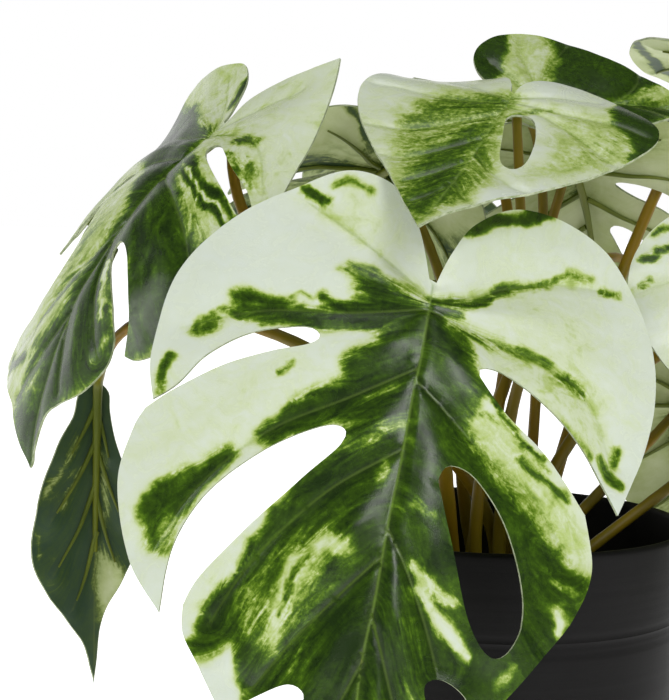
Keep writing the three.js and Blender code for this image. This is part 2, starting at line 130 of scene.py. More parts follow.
# Flat outlines, x across the blade and y along its midrib, with the veins of each mould
HEART_EDGE = [
    [(1, -1), (3, -12), (12, -24), (27, -32), (48, -31), (67, -20), (79, -4), (83, 14), (76, 36), (62, 62),
     (44, 86), (26, 106), (11, 128), (0, 150)],
    [(0, 150), (-12, 132), (-28, 107), (-44, 84), (-60, 62), (-74, 38), (-80, 16), (-76, -4), (-64, -20),
     (-46, -31), (-26, -33), (-12, -25), (-4, -12), (-1, -1)],
]
HEART_MIDRIB = [(0, 0), (0, 50), (0, 100), (0, 148)]
HEART_VEINS = [
    [(1, 3), (20, -6), (42, -20)],
    [(1, 7), (30, 8), (58, 6), (76, 10)],
    [(1, 13), (24, 16), (48, 30), (68, 44)],
    [(0, 62), (12, 78), (28, 90), (36, 92)],
    [(0, 96), (9, 110), (16, 116)],
    [(-1, 3), (-20, -8), (-42, -22)],
    [(-1, 7), (-30, 8), (-58, 6), (-74, 10)],
    [(0, 22), (-22, 34), (-44, 46), (-64, 50)],
    [(0, 48), (-16, 62), (-34, 76), (-46, 76)],
    [(0, 74), (-12, 88), (-26, 100)],
    [(0, 102), (-7, 114), (-14, 122)],
]
MOULDS = {
    "wide": {
        "edge": [
            [(1, -1), (4, -11), (10, -22), (23, -31), (42, -31), (60, -23), (74, -5), (78, 14), (76, 36),
             (69, 57)],
            [(69, 57), (57, 43), (42, 31), (27, 24), (19, 23), (17, 26), (26, 35), (41, 45), (57, 60)],
            [(57, 60), (62, 76), (57, 93), (46, 109), (38, 120), (30, 129)],
            [(30, 129), (25, 121), (18, 117), (13, 119), (14, 125), (19, 133), (22, 143)],
            [(22, 143), (14, 156), (-4, 170)],
            [(-4, 170), (-20, 160), (-32, 148)],
            [(-32, 148), (-27, 138), (-22, 131), (-21, 126), (-26, 124), (-34, 128), (-44, 135)],
            [(-44, 135), (-53, 122), (-59, 113), (-60, 105)],
            [(-60, 105), (-56, 96), (-43, 79), (-30, 64), (-20, 53), (-20, 48), (-27, 48), (-42, 56),
             (-58, 71), (-66, 88), (-67, 108)],
            [(-67, 108), (-79, 93), (-86, 70), (-84, 53), (-81, 46)],
            [(-81, 46), (-76, 42), (-70, 38), (-58, 31), (-45, 26), (-34, 23), (-31, 20), (-36, 17),
             (-52, 20), (-64, 28), (-72, 38), (-79, 43)],
            [(-79, 43), (-82, 28), (-79, 3), (-68, -14), (-51, -26), (-30, -35), (-14, -30), (-6, -17),
             (-1, -1)],
        ],
        "hole": [(10, 64), (9, 59), (12, 55), (20, 57), (30, 68), (38, 84), (40, 97), (36, 107), (30, 108),
            (23, 99), (16, 80)],
        "midrib": [(0, 0), (-0.6, 24), (-1.4, 34), (-2.3, 57), (-3.5, 73), (-4.4, 97), (-6, 121),
            (-4, 168)],
        "veins": [
            [(1, 4), (11, 1), (22, -5), (37, -11), (55, -15)],
            [(0, 8), (13, 11), (26, 14), (41, 16), (56, 24), (66, 42)],
            [(-1, 31), (7, 37), (17, 45), (28, 52), (42, 61), (54, 74)],
            [(-3.5, 76), (4, 88), (11, 102), (16, 114)],
            [(-5, 101), (1, 116), (8, 134), (14, 147)],
            [(-1, 4), (-12, -5), (-26, -15), (-40, -24)],
            [(-1, 8), (-24, 11), (-50, 12), (-72, 18)],
            [(-1, 27), (-20, 38), (-42, 50), (-62, 70), (-73, 90)],
            [(-2, 52), (-19, 64), (-31, 76), (-43, 92), (-51, 108)],
            [(-4, 84), (-16, 98), (-27, 112), (-36, 126)],
            [(-5, 112), (-12, 130), (-22, 146)],
        ],
    },
    "lobed": {
        "edge": [
            [(1, -1), (2, -13), (12, -26), (33, -42)],
            [(33, -42), (45, -26), (60, 0), (70, 28), (72, 36)],
            [(72, 36), (62, 28), (53, 22), (38, 17), (22, 11), (17, 13), (21, 18), (44, 27), (60, 34),
             (71, 42)],
            [(71, 42), (76, 60), (73, 82), (64, 96), (55, 103), (49, 103)],
            [(49, 103), (43, 88), (30, 72), (19, 63), (12, 62), (11, 66), (18, 73), (31, 85), (41, 98)],
            [(41, 98), (42, 109), (33, 121), (20, 127), (12, 133), (4, 152)],
            [(4, 152), (-12, 141), (-30, 130), (-50, 122), (-70, 116)],
            [(-70, 116), (-60, 106), (-44, 97), (-33, 86), (-30, 72), (-34, 56), (-38, 46), (-42, 46),
             (-52, 56), (-64, 68)],
            [(-64, 68), (-74, 50), (-77, 28), (-72, 4), (-60, -12), (-48, -21), (-36, -27), (-23, -29),
             (-12, -22), (-5, -11), (-1, -1)],
        ],
        "hole": [(-30, 31), (-36, 29), (-44, 33), (-46, 38), (-40, 39), (-32, 36)],
        "midrib": [(0, 0), (0, 40), (1, 80), (2, 115), (4, 150)],
        "veins": [
            [(1, 3), (11, -8), (26, -24)],
            [(1, 7), (20, 3), (40, 5), (58, 18)],
            [(0, 30), (22, 38), (46, 52), (64, 72)],
            [(1, 62), (10, 76), (22, 92), (34, 106)],
            [(2, 96), (10, 110), (17, 122)],
            [(-1, 3), (-13, -8), (-28, -21)],
            [(-1, 7), (-28, 9), (-54, 9), (-70, 12)],
            [(-1, 20), (-26, 24), (-50, 40), (-64, 58)],
            [(0, 52), (-14, 76), (-32, 98), (-58, 112)],
            [(1, 92), (-12, 112), (-26, 126)],
        ],
    },
    "heart": {
        "edge": HEART_EDGE,
        "hole": [(5, 25), (12, 20), (20, 25), (26, 44), (28, 64), (25, 74), (19, 74), (14, 66), (9, 46)],
        "midrib": HEART_MIDRIB,
        "veins": HEART_VEINS,
    },
    "whole": {"edge": HEART_EDGE, "hole": [], "midrib": HEART_MIDRIB, "veins": HEART_VEINS},
    "spear": {
        "edge": [
            [(0, -6), (6, -3), (10, 2), (13, 13), (21, 26), (28, 43), (33, 60), (36, 78), (34, 92),
             (26, 105), (15, 118), (6, 129), (2.5, 140), (0, 150)],
            [(0, 150), (-1.5, 138), (-3, 122), (-7, 110), (-15, 97), (-21, 82), (-22, 64), (-17, 44),
             (-10, 24), (-7, 10), (-6, 0), (0, -6)],
        ],
        "hole": [],
        "midrib": [(0, -4), (0, 50), (0, 100), (0, 148)],
        "veins": [
            [(0, 6), (-4, 20), (-8, 36)],
            [(0, 26), (-7, 46), (-15, 66)],
            [(0, 48), (-6, 72), (-13, 92)],
            [(0, 4), (8, 20), (18, 36)],
            [(0, 22), (12, 46), (26, 66)],
            [(0, 44), (10, 70), (24, 94)],
            [(0, 70), (6, 94), (13, 112)],
        ],
    },
}

# The marbling that is painted, a list for each of eight blades: areas and lines of green,
# from 0, cream, to 1, darkest, one over the other with soft edges. Each has its kind, its
# amount, its softness or width and its points, in the flat millimetres of the mould.
FRONT_PAINT = [
    ("area", 0.22, 9, [(-76, 50), (-60, 36), (-40, 30), (-20, 26), (-30, 40), (-52, 54), (-70, 66)]),
    ("area", 0.26, 10, [(24, -10), (50, -6), (66, 20), (60, 34), (40, 26), (26, 10)]),
    ("area", 0.27, 8, [(-44, -26), (-26, -28), (-8, -12), (-16, -8), (-32, -18)]),
    ("area", 0.82, 2.2, [(0, 7), (10, 7), (12, 10), (10, 14), (15, 20), (18, 27), (17, 36), (15, 41),
     (21, 48), (31, 56), (41, 63), (48, 70), (55, 75), (64, 80), (58, 100), (48, 114), (28, 132), (22, 146),
     (-4, 172), (-32, 150), (-22, 136), (-38, 131), (-40, 126), (-43, 113), (-48, 116), (-54, 121),
     (-57, 115), (-54, 105), (-50, 98), (-46, 95), (-43, 86), (-38, 74), (-20, 54), (-20, 46), (-41, 56),
     (-45, 50), (-39, 44), (-34, 39), (-29, 35), (-21, 31), (-23, 27), (-19, 24), (-14, 20), (-12, 16),
     (-2, 12)]),
    ("line", 0.82, 4.4, [(0, 13), (-12, 13.5), (-26, 13.5), (-40, 14), (-50, 13)]),
    ("line", 0.8, 4.2, [(-44, 12), (-51, 9), (-58, 7)]),
    ("line", 0.74, 3.2, [(-46, 14), (-56, 14), (-63, 16.5), (-68, 20)]),
    ("line", 0.56, 2.6, [(-52, 11), (-60, 13), (-67, 17)]),
    ("line", 0.2, 1.8, [(-56, 17), (-62, 15.5)]),
    ("area", 0.84, 2.4, [(-1, 13), (-10, 11.5), (-17, 10), (-23, 4), (-24, 1), (-28, -1.5), (-25, -4),
     (-18, -2.5), (-10, 3), (-2, 6.5)]),
    ("line", 0.74, 2.2, [(-17, 10.5), (-25, 9), (-32, 6.5)]),
    ("line", 0.4, 1.4, [(-36, 7), (-40, 5.5), (-43, 7.5), (-42, 10.5)]),
    ("area", 0.83, 2.2, [(-68, 91), (-76, 87), (-78, 82), (-77, 75), (-74, 70), (-68, 64), (-63, 62),
     (-59, 59), (-53, 55), (-50, 58), (-56, 64), (-66, 80), (-66, 90)]),
    ("line", 0.5, 2.4, [(-68, 88), (-70, 84), (-68, 78)]),
    ("line", 0.72, 1.9, [(1, 5), (9, 5), (15, 1.5), (20, -3), (25, -6)]),
    ("line", 0.5, 1.3, [(25, -6), (33, -10), (41, -13.5)]),
    ("line", 0.46, 2.6, [(43, -15), (50, -17)]),
    ("line", 0.6, 1.5, [(56, -15), (61, -16)]),
    ("line", 0.6, 1.8, [(10, 14), (18, 15), (27, 14), (40, 15.5)]),
    ("line", 0.22, 2.4, [(7, 10.5), (16, 10.5), (26, 12)]),
    ("line", 0.62, 2.4, [(40, 21), (45, 20), (52, 21)]),
    ("line", 0.74, 1.6, [(44, 21), (48, 19.5)]),
    ("line", 0.66, 2.4, [(61, 41), (64, 45), (69, 48)]),
    ("line", 0.56, 2.2, [(66, 36), (67, 41)]),
    ("line", 0.6, 1.9, [(46, 33), (51, 36), (56, 41)]),
    ("line", 0.7, 1.9, [(-78, 39), (-77, 34), (-75, 30)]),
    ("line", 0.6, 1.6, [(-42, 31), (-40, 30)]),
    ("line", 0.78, 1.7, [(-43, -29), (-38, -27), (-35, -27)]),
    ("line", 0.46, 1.9, [(-34, -31), (-28, -31), (-22, -28)]),
    ("line", 0.86, 2.6, [(7, -18), (13, -23), (20, -27), (28, -31), (34, -33)]),
    ("area", 0.33, 5, [(22, 11), (34, 14), (48, 20), (60, 34), (58, 41), (40, 30), (27, 24), (20, 16)]),
    ("area", 0.33, 4, [(14, 40), (19, 39), (27, 40), (34, 45), (44, 51), (54, 57), (60, 64), (63, 76),
     (60, 79), (52, 73), (46, 69), (40, 63), (31, 56), (21, 48)]),
    ("line", 0.64, 1.4, [(33, 48.5), (42, 53), (51, 58)]),
    ("line", 0.78, 1.7, [(18, 30), (27, 37), (40, 46)]),
    ("line", 0.5, 1.2, [(19, 38), (28, 40), (35, 45.5), (43, 50)]),
    ("line", 0.2, 2.6, [(24, 110), (19, 103), (14, 98.5), (8, 92)]),
    ("line", 0.3, 1.8, [(19, 94.5), (12, 91), (4, 86)]),
    ("line", 0.42, 1.6, [(9, 70.5), (3, 67.5)]),
    ("line", 0.46, 1.8, [(39, 65), (34, 61)]),
    ("area", 0.14, 1.8, [(50.5, 99), (53, 100.5), (56, 95), (53, 89), (50.5, 90)]),
    ("line", 0.48, 1.8, [(49, 83), (56, 85)]),
    ("line", 0.46, 2, [(34, 117), (38, 111)]),
    ("area", 0.62, 4, [(-38, 118), (-42, 100), (-36, 86), (-22, 78), (-8, 86), (-14, 100), (-24, 118)]),
    ("area", 0.24, 2.2, [(-32, 116), (-34, 109), (-35, 103), (-32.5, 96), (-31, 87), (-26, 85), (-22, 82),
     (-15, 80.5), (-15, 83), (-20, 87), (-24, 94), (-28, 101), (-29.5, 109), (-30, 116)]),
    ("line", 0.58, 1.4, [(-31, 104), (-28, 94), (-24, 87)]),
    ("line", 0.5, 2.2, [(-37, 112), (-40, 106), (-39, 98)]),
    ("line", 0.4, 1.6, [(-12, 98), (-8, 93)]),
    ("line", 0.44, 1.8, [(-22, 74), (-17, 72)]),
    ("line", 0.46, 2.2, [(-8, 61), (-5, 56)]),
    ("line", 0.5, 2.4, [(-11, 49), (-4, 43)]),
    ("line", 0.52, 1.8, [(-18, 53), (-12, 50)]),
    ("line", 0.5, 2, [(-15, 37), (-7, 32)]),
    ("line", 0.5, 1.8, [(-24, 138), (-14, 128)]),
    ("line", 0.3, 2.4, [(-10, 152), (-6, 136)]),
    ("area", 0.95, 5, [(-17, 92), (-5, 86), (-3, 120), (-14, 128), (-20, 108)]),
    ("area", 0.92, 5, [(-30, 60), (-20, 58), (-12, 66), (-20, 74), (-32, 70)]),
]
LEFT_PAINT = [
    ("area", 0.4, 8, [(-80, 60), (-80, 22), (-40, 30), (-18, 40), (-10, 60), (-8, 90), (-30, 104),
     (-34, 70)]),
    ("area", 0.27, 5, [(-64, -13), (-36, -9), (-16, -4), (-2, -6), (4, -16), (-12, -32), (-40, -36),
     (-72, -26)]),
    ("area", 0.24, 8, [(6, -4), (8, -20), (34, -44), (52, -20), (66, 4), (72, 34), (56, 22), (36, 12),
     (20, 2)]),
    ("area", 0.84, 3.5, [(0, 14), (8, 20), (13, 29), (23, 37), (36, 42), (54, 51), (76, 58), (74, 84),
     (52, 104), (40, 86), (20, 66), (24, 80), (40, 96), (43, 110), (14, 132), (4, 152), (-14, 140),
     (-22, 128), (-18, 112), (-6, 96), (-4, 70), (-9, 44), (-20, 30), (-42, 22), (-82, 14), (-80, -11),
     (-60, -7), (-36, -5), (-20, 0), (-4, 4)]),
    ("line", 0.84, 1.6, [(14, 25), (26, 30), (42, 35), (57, 40)]),
    ("line", 0.84, 1.8, [(11, 20), (26, 26), (42, 30), (58, 35)]),
    ("line", 0.18, 0.9, [(16, 24.5), (28, 28.5), (42, 32.5), (55, 37)]),
    ("line", 0.62, 2.4, [(24, 5), (35, 2.5)]),
    ("area", 0.62, 3, [(40, 10), (46, 10), (55, 20), (50, 24), (42, 17)]),
    ("line", 0.56, 2.6, [(30, 13), (42, 16)]),
    ("area", 0.58, 4, [(-20, 132), (-3, 130), (-3, 108), (-18, 108)]),
    ("line", 0.3, 2.4, [(-25, 124), (-23, 108), (-18, 92)]),
    ("line", 0.7, 4, [(-60, 115), (-44, 116), (-28, 112)]),
    ("line", 0.66, 3, [(-28, 100), (-18, 92), (-8, 78)]),
    ("line", 0.26, 2, [(12, 72), (20, 80), (28, 91)]),
    ("line", 0.5, 3, [(34, 108), (37, 98)]),
    ("line", 0.8, 4, [(-12, -22), (-7, -12)]),
    ("line", 0.84, 2.4, [(-46, 38), (-36, 35), (-31, 32)]),
]
TOP_PAINT = [
    ("area", 0.36, 10, [(8, 6), (50, -4), (72, 16), (66, 44), (44, 74), (24, 92), (30, 60), (28, 26)]),
    ("area", 0.42, 7, [(58, 6), (66, 14), (70, 30), (60, 48), (48, 62), (46, 50), (58, 34), (56, 18)]),
    ("area", 0.46, 7, [(-4, 152), (-20, 132), (-30, 108), (-36, 84), (-46, 58), (-52, 36), (-44, 12),
     (-20, -4), (6, -2), (8, 20), (11, 44), (17, 70), (20, 90), (16, 118), (6, 138)]),
    ("area", 0.66, 5, [(-6, 142), (-16, 126), (-22, 108), (-25, 84), (-22, 64), (-15, 48), (-7, 34),
     (-1, 34), (-1, 50), (-4, 66), (1, 84), (5, 104), (2, 122)]),
    ("area", 0.6, 6, [(-44, 38), (-34, 30), (-20, 24), (-4, 20), (0, 6), (-24, 6), (-36, 10), (-44, 22)]),
    ("line", 0.5, 3, [(8, 26), (14, 14), (24, 8)]),
    ("area", 0.84, 2.4, [(73, 38), (74, 27), (66, 12), (56, 2), (53, -10), (51, -36), (90, -20), (90, 30)]),
    ("line", 0.74, 3, [(-4, 134), (-8, 114), (-10, 92)]),
]
HANGING_PAINT = [
    ("line", 0.38, 2.6, [(11, 26), (19, 38), (28, 54)]),
    ("line", 0.42, 2.0, [(9, 40), (15, 50), (21, 60)]),
    ("line", 0.36, 2.8, [(-2, 28), (-6, 48), (-6, 68)]),
    ("area", 0.16, 4, [(-3, 80), (-8, 84), (-18, 96), (-12, 108), (-3, 118), (-1, 100)]),
    ("line", 0.45, 2.0, [(33, 74), (31, 86)]),
]
REAR_PAINT = [
    ("area", 0.84, 2.4, [(32, -36), (56, -32), (76, -16), (82, 0), (66, -2), (47, -9), (21, -18), (8, -24),
     (12, -38)]),
    ("area", 0.5, 3, [(90, 26), (56, 32), (34, 21), (12, 15), (-4, 16), (-4, 50), (4, 78), (14, 92),
     (20, 104), (26, 124), (60, 114), (94, 70)]),
    ("area", 0.84, 2.2, [(90, 34), (52, 38), (31, 27), (12, 21), (2, 22), (2, 50), (8, 72), (18, 87),
     (25, 100), (30, 120), (60, 110), (90, 70)]),
    ("area", 0.8, 6, [(-10, 40), (-40, 40), (-80, 20), (-84, 40), (-60, 66), (-20, 110), (0, 130),
     (4, 90)]),
]
RIGHT_PAINT = [
    ("line", 0.84, 2.6, [(-68, -6), (-60, -11), (-52, -13)]),
    ("line", 0.72, 2.0, [(-62, -20), (-54, -22), (-46, -22)]),
    ("line", 0.66, 1.6, [(-72, 6), (-68, 4)]),
    ("area", 0.34, 9, [(-20, 20), (30, 0), (70, 10), (60, 50), (30, 90), (0, 130), (-20, 90)]),
    ("area", 0.82, 4, [(1, 8), (20, 4), (48, -14), (68, -6), (60, 14), (34, 22), (24, 34), (34, 52),
     (26, 70), (10, 84), (8, 112), (0, 140), (-10, 112), (-6, 80), (-16, 58), (-4, 40)]),
    ("line", 0.8, 3, [(40, 48), (52, 44), (62, 42)]),
    ("line", 0.8, 3, [(-20, 84), (-32, 92), (-40, 88)]),
]
UNDER_PAINT = [
    ("area", 0.06, 5, [(70, -8), (44, -9), (27, -5), (20, -10), (32, -24), (48, -34), (70, -34)]),
    ("line", 0.8, 2.6, [(62, -32), (46, -29), (30, -20), (16, -7)]),
    ("line", 0.7, 4, [(54, 8), (36, 10), (16, 14)]),
    ("area", 0.2, 5, [(70, -3), (44, -4), (12, 4), (12, 8), (44, 3), (70, 4)]),
]
END_PAINT = [
    ("line", 0.84, 4, [(-30, -38), (-37, -27), (-52, -6), (-62, 14), (-68, 40)]),
    ("line", 0.84, 4, [(-20, -36), (-8, -22), (0, -8)]),
    ("area", 0.36, 10, [(-50, 60), (-20, 30), (20, 20), (60, 20), (60, 90), (20, 130), (-30, 130)]),
    ("area", 0.84, 4, [(-2, 8), (14, 10), (40, 8), (70, 30), (44, 40), (24, 36), (18, 52), (40, 66),
     (66, 84), (48, 98), (22, 88), (14, 104), (20, 124), (4, 152), (-8, 124), (-4, 96), (-20, 84),
     (-30, 104), (-44, 116), (-36, 92), (-20, 66), (-6, 56)]),
    ("line", 0.78, 4, [(-16, 26), (-38, 40), (-54, 54)]),
]

# How each blade lies and runs into its stem, as in the model's source, in millimetres and
# degrees. The stem's numbers are its hole, rise, lean, reach and turn. Base and sway give
# the share of green and how far it changes from vein to vein, feather says how far the
# streaks follow the veins, and swell how high the panels between the veins stand and how
# dark the painted crease shade along the side veins is.
USUAL = dict(mirror=False, lift=(0, 0), feather=1.0, swell=1.0, paint=[])
LEAVES = [
    dict(mould="wide", at=(-25, -64, 193), heading=-103, pitch=58, roll=-10, droop=22, rear=-10,
         fold=(-4, -15), curl=(-12, -24), scale=1.0, stem=(12, 60, 0.51, 9, 122),
         base=0.13, sway=0.1, paint=FRONT_PAINT),
    dict(mould="lobed", at=(-91.9, 13, 236.6), heading=-157, pitch=35, roll=5.5, droop=47, rear=-45,
         fold=(8, -3), curl=(-22, -48), lift=(16, 0), scale=0.86, stem=(9, 100, 0.13, 50, 124),
         base=0.3, sway=0.12, swell=0.6, paint=LEFT_PAINT),
    dict(mould="spear", at=(-133.2, 32, 146.2), heading=90, pitch=95, roll=-12, droop=10, rear=10,
         fold=(-22, -22), curl=(-10, -10), scale=0.65, stem=(1, 48, -0.225, 102, 54.5),
         base=0.88, sway=0.1, paint=HANGING_PAINT),
    dict(mould="heart", at=(0, -14, 249.4), heading=-112, pitch=28, roll=8, droop=-6, rear=80,
         fold=(3, -20), curl=(26, -4), lift=(-12, -5), scale=0.59, stem=(2, 116, 0.66, 128, 124),
         base=0.2, sway=0.15, feather=0.55, swell=0.45, paint=TOP_PAINT),
    dict(mould="whole", at=(7.8, 26.5, 247.4), heading=12, pitch=1, roll=35, droop=6, rear=-6,
         fold=(24, 3), curl=(-12, -8), scale=0.46, stem=(8, 8, 0.84, 30, 125),
         base=0.35, sway=0.06, feather=0.3, swell=0.6, paint=REAR_PAINT),
    dict(mould="lobed", mirror=True, at=(79.1, 80, 263), heading=30, pitch=14, roll=6, droop=24,
         rear=-10, fold=(-2, -6), curl=(-4, -12), scale=0.7, stem=(5, 120, 0.436, 30, 84),
         base=0.2, sway=0.2, paint=END_PAINT),
    dict(mould="heart", at=(84.1, -12, 197.1), heading=-70, pitch=60, roll=-4, droop=16, rear=-10,
         fold=(-6, -10), curl=(-12, -16), scale=0.62, stem=(0, 87, 0.22, 39, 105),
         base=0.14, sway=0.12, paint=RIGHT_PAINT),
    dict(mould="heart", mirror=True, at=(72.2, 68, 146.3), heading=52, pitch=66, roll=0, droop=22,
         rear=-10, fold=(-8, -8), curl=(-16, -16), scale=0.6, stem=(11, 18, 0.24, 12, 103),
         base=0.6, sway=0.8),
    dict(mould="wide", mirror=True, at=(26.3, 50, 228.3), heading=66, pitch=39, roll=12, droop=40,
         rear=-15, fold=(14, -28), curl=(8, -24), scale=0.63, stem=(3, 87, -0.24, 130, 115),
         base=0.24, sway=0.4),
    dict(mould="wide", at=(-37.4, 34, 225.4), heading=128, pitch=23, roll=10, droop=22, rear=-25,
         fold=(-32, 2), curl=(-25, -18), lift=(0, 18), scale=0.61, stem=(6, 65, 0.54, 89, 63),
         base=0.4, sway=0.5, paint=UNDER_PAINT),
    dict(mould="lobed", at=(-17, 74, 245.8), heading=106, pitch=20, roll=0, droop=40, rear=-15,
         fold=(-6, -6), curl=(-14, -14), scale=0.58, stem=(4, 18, 0.314, 127, 30),
         base=0.45, sway=0.9),
    dict(mould="wide", at=(84, -4, 146), heading=-26, pitch=46, roll=0, droop=30, rear=-15,
         fold=(-8, -8), curl=(-18, -18), scale=0.56, stem=(10, 10, 0.1, 12, 90),
         base=0.35, sway=0.9),
    dict(mould="lobed", mirror=True, at=(58, 100, 182), heading=74, pitch=42, roll=0, droop=28,
         rear=-15, fold=(-8, -8), curl=(-18, -18), scale=0.52, stem=(7, 79, -0.21, 98, 22),
         base=0.5, sway=0.9),
]


# Small helpers

def linear(red, green, blue):
    """Scene colour of an 8-bit screen colour."""
    def channel(v):
        v /= 255
        return v / 12.92 if v <= 0.04045 else ((v + 0.055) / 1.055) ** 2.4
    return (channel(red), channel(green), channel(blue), 1)


def add_to_scene(name, data):
    """A new object in the scene, the only one selected, and active."""
    added = bpy.data.objects.new(name, data)
    bpy.context.scene.collection.objects.link(added)
    bpy.ops.object.select_all(action="DESELECT")
    added.select_set(True)
    bpy.context.view_layer.objects.active = added
    return added


def smooth(degrees):
    """Shades the active object smooth, apart from edges sharper than the angle."""
    bpy.ops.object.shade_smooth_by_angle(angle=math.radians(degrees))


def set_finish(body, finish):
    body.data.materials.clear()
    body.data.materials.append(finish)


def places_of(body):
    """The points of an object's mesh, in millimetres."""
    return np.array([v.co for v in body.data.vertices]) / MM


def smoothstep(low, high, v):
    t = np.clip((v - low) / (high - low), 0, 1)
    return t * t * (3 - 2 * t)


def hump(distance, width):
    """1 on a line and falling off smoothly at both its sides."""
    return np.exp(-(distance / width) ** 2)


def unit(vectors):
    return vectors / np.linalg.norm(vectors, axis=1)[:, None]


def spline(points, step, closed=False):
    """Even points on a smooth curve through the given points, its last point left out."""
    p = np.array(points, float)
    n = len(p)
    pick = (lambda i: p[i % n]) if closed else (lambda i: p[min(max(i, 0), n - 1)])
    out = []
    for i in range(n if closed else n - 1):
        a, b, c, d = pick(i - 1), pick(i), pick(i + 1), pick(i + 2)
        pieces = max(1, round(float(np.linalg.norm(c - b)) / step))
        for t in np.arange(pieces) / pieces:
            out.append(0.5 * (2 * b + (c - a) * t + (2 * a - 5 * b + 4 * c - d) * t * t
                              + (3 * b - a - 3 * c + d) * t ** 3))
    return np.array(out)


def polyline(points, step):
    return np.vstack([spline(points, step), [points[-1]]])


def closed(loop):
    return np.vstack([loop, loop[:1]])


def inside(points, loop):
    x, y = points[:, 0], points[:, 1]
    hit = np.zeros(len(points), bool)
    for a, b in zip(loop, np.roll(loop, -1, axis=0)):
        if a[1] == b[1]:
            continue
        crossing = (a[1] > y) != (b[1] > y)
        hit ^= crossing & (x < (b[0] - a[0]) * (y - a[1]) / (b[1] - a[1]) + a[0])
    return hit


def distance_to(points, line):
    """Distance to a polyline and the length along it to the nearest point."""
    best = np.full(len(points), 1e9)
    along = np.zeros(len(points))
    start = 0.0
    for a, b in zip(line[:-1], line[1:]):
        ab = b - a
        length = float(np.linalg.norm(ab))
        if length < 1e-9:
            continue
        t = np.clip((points - a) @ ab / length ** 2, 0, 1)
        d = np.linalg.norm(points - a - t[:, None] * ab, axis=1)
        near = d < best
        best[near] = d[near]
        along[near] = start + t[near] * length
        start += length
    return best, along


def distance_to_any(points, lines):
    return np.min([distance_to(points, line)[0] for line in lines], axis=0)


def lattice_noise(seed, u, v):
    """Smooth noise from 0 to 1 over a plane."""
    table = np.random.default_rng(seed).random((64, 64))
    i, j = np.floor(u).astype(int), np.floor(v).astype(int)
    s, t = u - i, v - j
    s, t = s * s * (3 - 2 * s), t * t * (3 - 2 * t)
    at = lambda a, b: table[a % 64, b % 64]
    return ((at(i, j) * (1 - s) + at(i + 1, j) * s) * (1 - t)
            + (at(i, j + 1) * (1 - s) + at(i + 1, j + 1) * s) * t)


def plane_noise(seed, points, cell, shift):
    """The noise in cells of a size in millimetres, over the points' x and y."""
    return lattice_noise(seed, points[:, 0] / cell + shift, points[:, 1] / cell + shift)


# The curved surface of a blade

def arc(start, rate, length):
    """Integral of (cos, sin) of an angle that starts at start and grows by rate, never 0."""
    end = start + rate * length
    return (np.sin(end) - np.sin(start)) / rate, (np.cos(start) - np.cos(end)) / rate


def turn_matrix(leaf):
    """From the leaf's own frame, with its roll, to the plant's frame."""
    pitch = math.radians(leaf["pitch"])
    axis = Vector((math.cos(pitch), 0, -math.sin(pitch)))
    roll = Matrix.Rotation(math.radians(leaf["roll"]), 3, axis)
    return np.array(Matrix.Rotation(math.radians(leaf["heading"]), 3, "Z") @ roll)


def midrib_frame(leaf, y):
    """Point and normal of the midrib at a length y from the stem."""
    y = np.asarray(y, float)
    rate = np.radians(np.where(y >= 0, leaf["droop"], leaf["rear"])) / (LEAF_LENGTH * leaf["scale"])
    start = math.radians(leaf["pitch"])
    forward, down = arc(start, rate, y)
    angle = start + rate * y
    zero = np.zeros_like(y)
    return np.stack([forward, zero, -down], -1), np.stack([np.sin(angle), zero, np.cos(angle)], -1)


def side_of(flat, on_midrib=1):
    """-1 for points left of the middle and 1 for those right of it."""
    return np.select([flat[:, 0] < 0, flat[:, 0] > 0], [-1, 1], on_midrib)


def blade_surface(leaf, flat, side=None):
    """Middle surface of the blade, in millimetres, at flat points of its mould."""
    side = side_of(flat) if side is None else side
    point, normal = midrib_frame(leaf, flat[:, 1] * leaf["scale"])
    raised = smoothstep(0, LOBE_LIFT_SPAN, LOBE_LIFT_START - flat[:, 1])
    half = (side > 0).astype(int)
    fold, lift, curl = (np.array(leaf[key], float)[half] for key in ("fold", "lift", "curl"))
    rate = np.radians(curl) / (LEAF_HALF_WIDTH * leaf["scale"])
    across, up = arc(np.radians(fold + lift * raised), rate, np.abs(flat[:, 0]) * leaf["scale"])
    point = point + normal * up[:, None]
    point[:, 1] += side * across
    return point @ turn_matrix(leaf).T + np.array(leaf["at"], float)


def blade_normals(leaf, flat):
    """Normals of the middle surface, on the midrib the mean of those at its two sides."""
    step = 0.1
    total = 0
    for on_midrib in (-1, 1):
        side = side_of(flat, on_midrib)
        here = blade_surface(leaf, flat, side)
        along = blade_surface(leaf, flat + [0, step], side) - here
        across = blade_surface(leaf, flat + np.stack([side * step, 0 * side], 1), side) - here
        total = total + unit(np.cross(along, across * side[:, None]))
    return unit(total)


# Flat points and triangles of a blade

def mirrored(leaf, points):
    return np.array(points, float) * [-1 if leaf["mirror"] else 1, 1]


def mould_lines(leaf, step):
    """The midrib and then the side veins of the leaf's mould, as fine flat lines."""
    mould = MOULDS[leaf["mould"]]
    return [mirrored(leaf, polyline(line, step)) for line in (mould["midrib"], *mould["veins"])]


def blade_loops(leaf):
    """The outline of the blade and, where it has one, its hole."""
    mould = MOULDS[leaf["mould"]]
    step = EDGE_STEP / leaf["scale"]
    loops = [np.vstack([spline(stroke, step) for stroke in mould["edge"]])]
    if mould["hole"]:
        loops.append(spline(mould["hole"], step, closed=True))
    return [mirrored(leaf, loop) for loop in loops]


def on_blade(points, loops):
    """Within the outline and, where the blade has one, outside its hole."""
    return sum(inside(points, loop).astype(int) for loop in loops) == 1


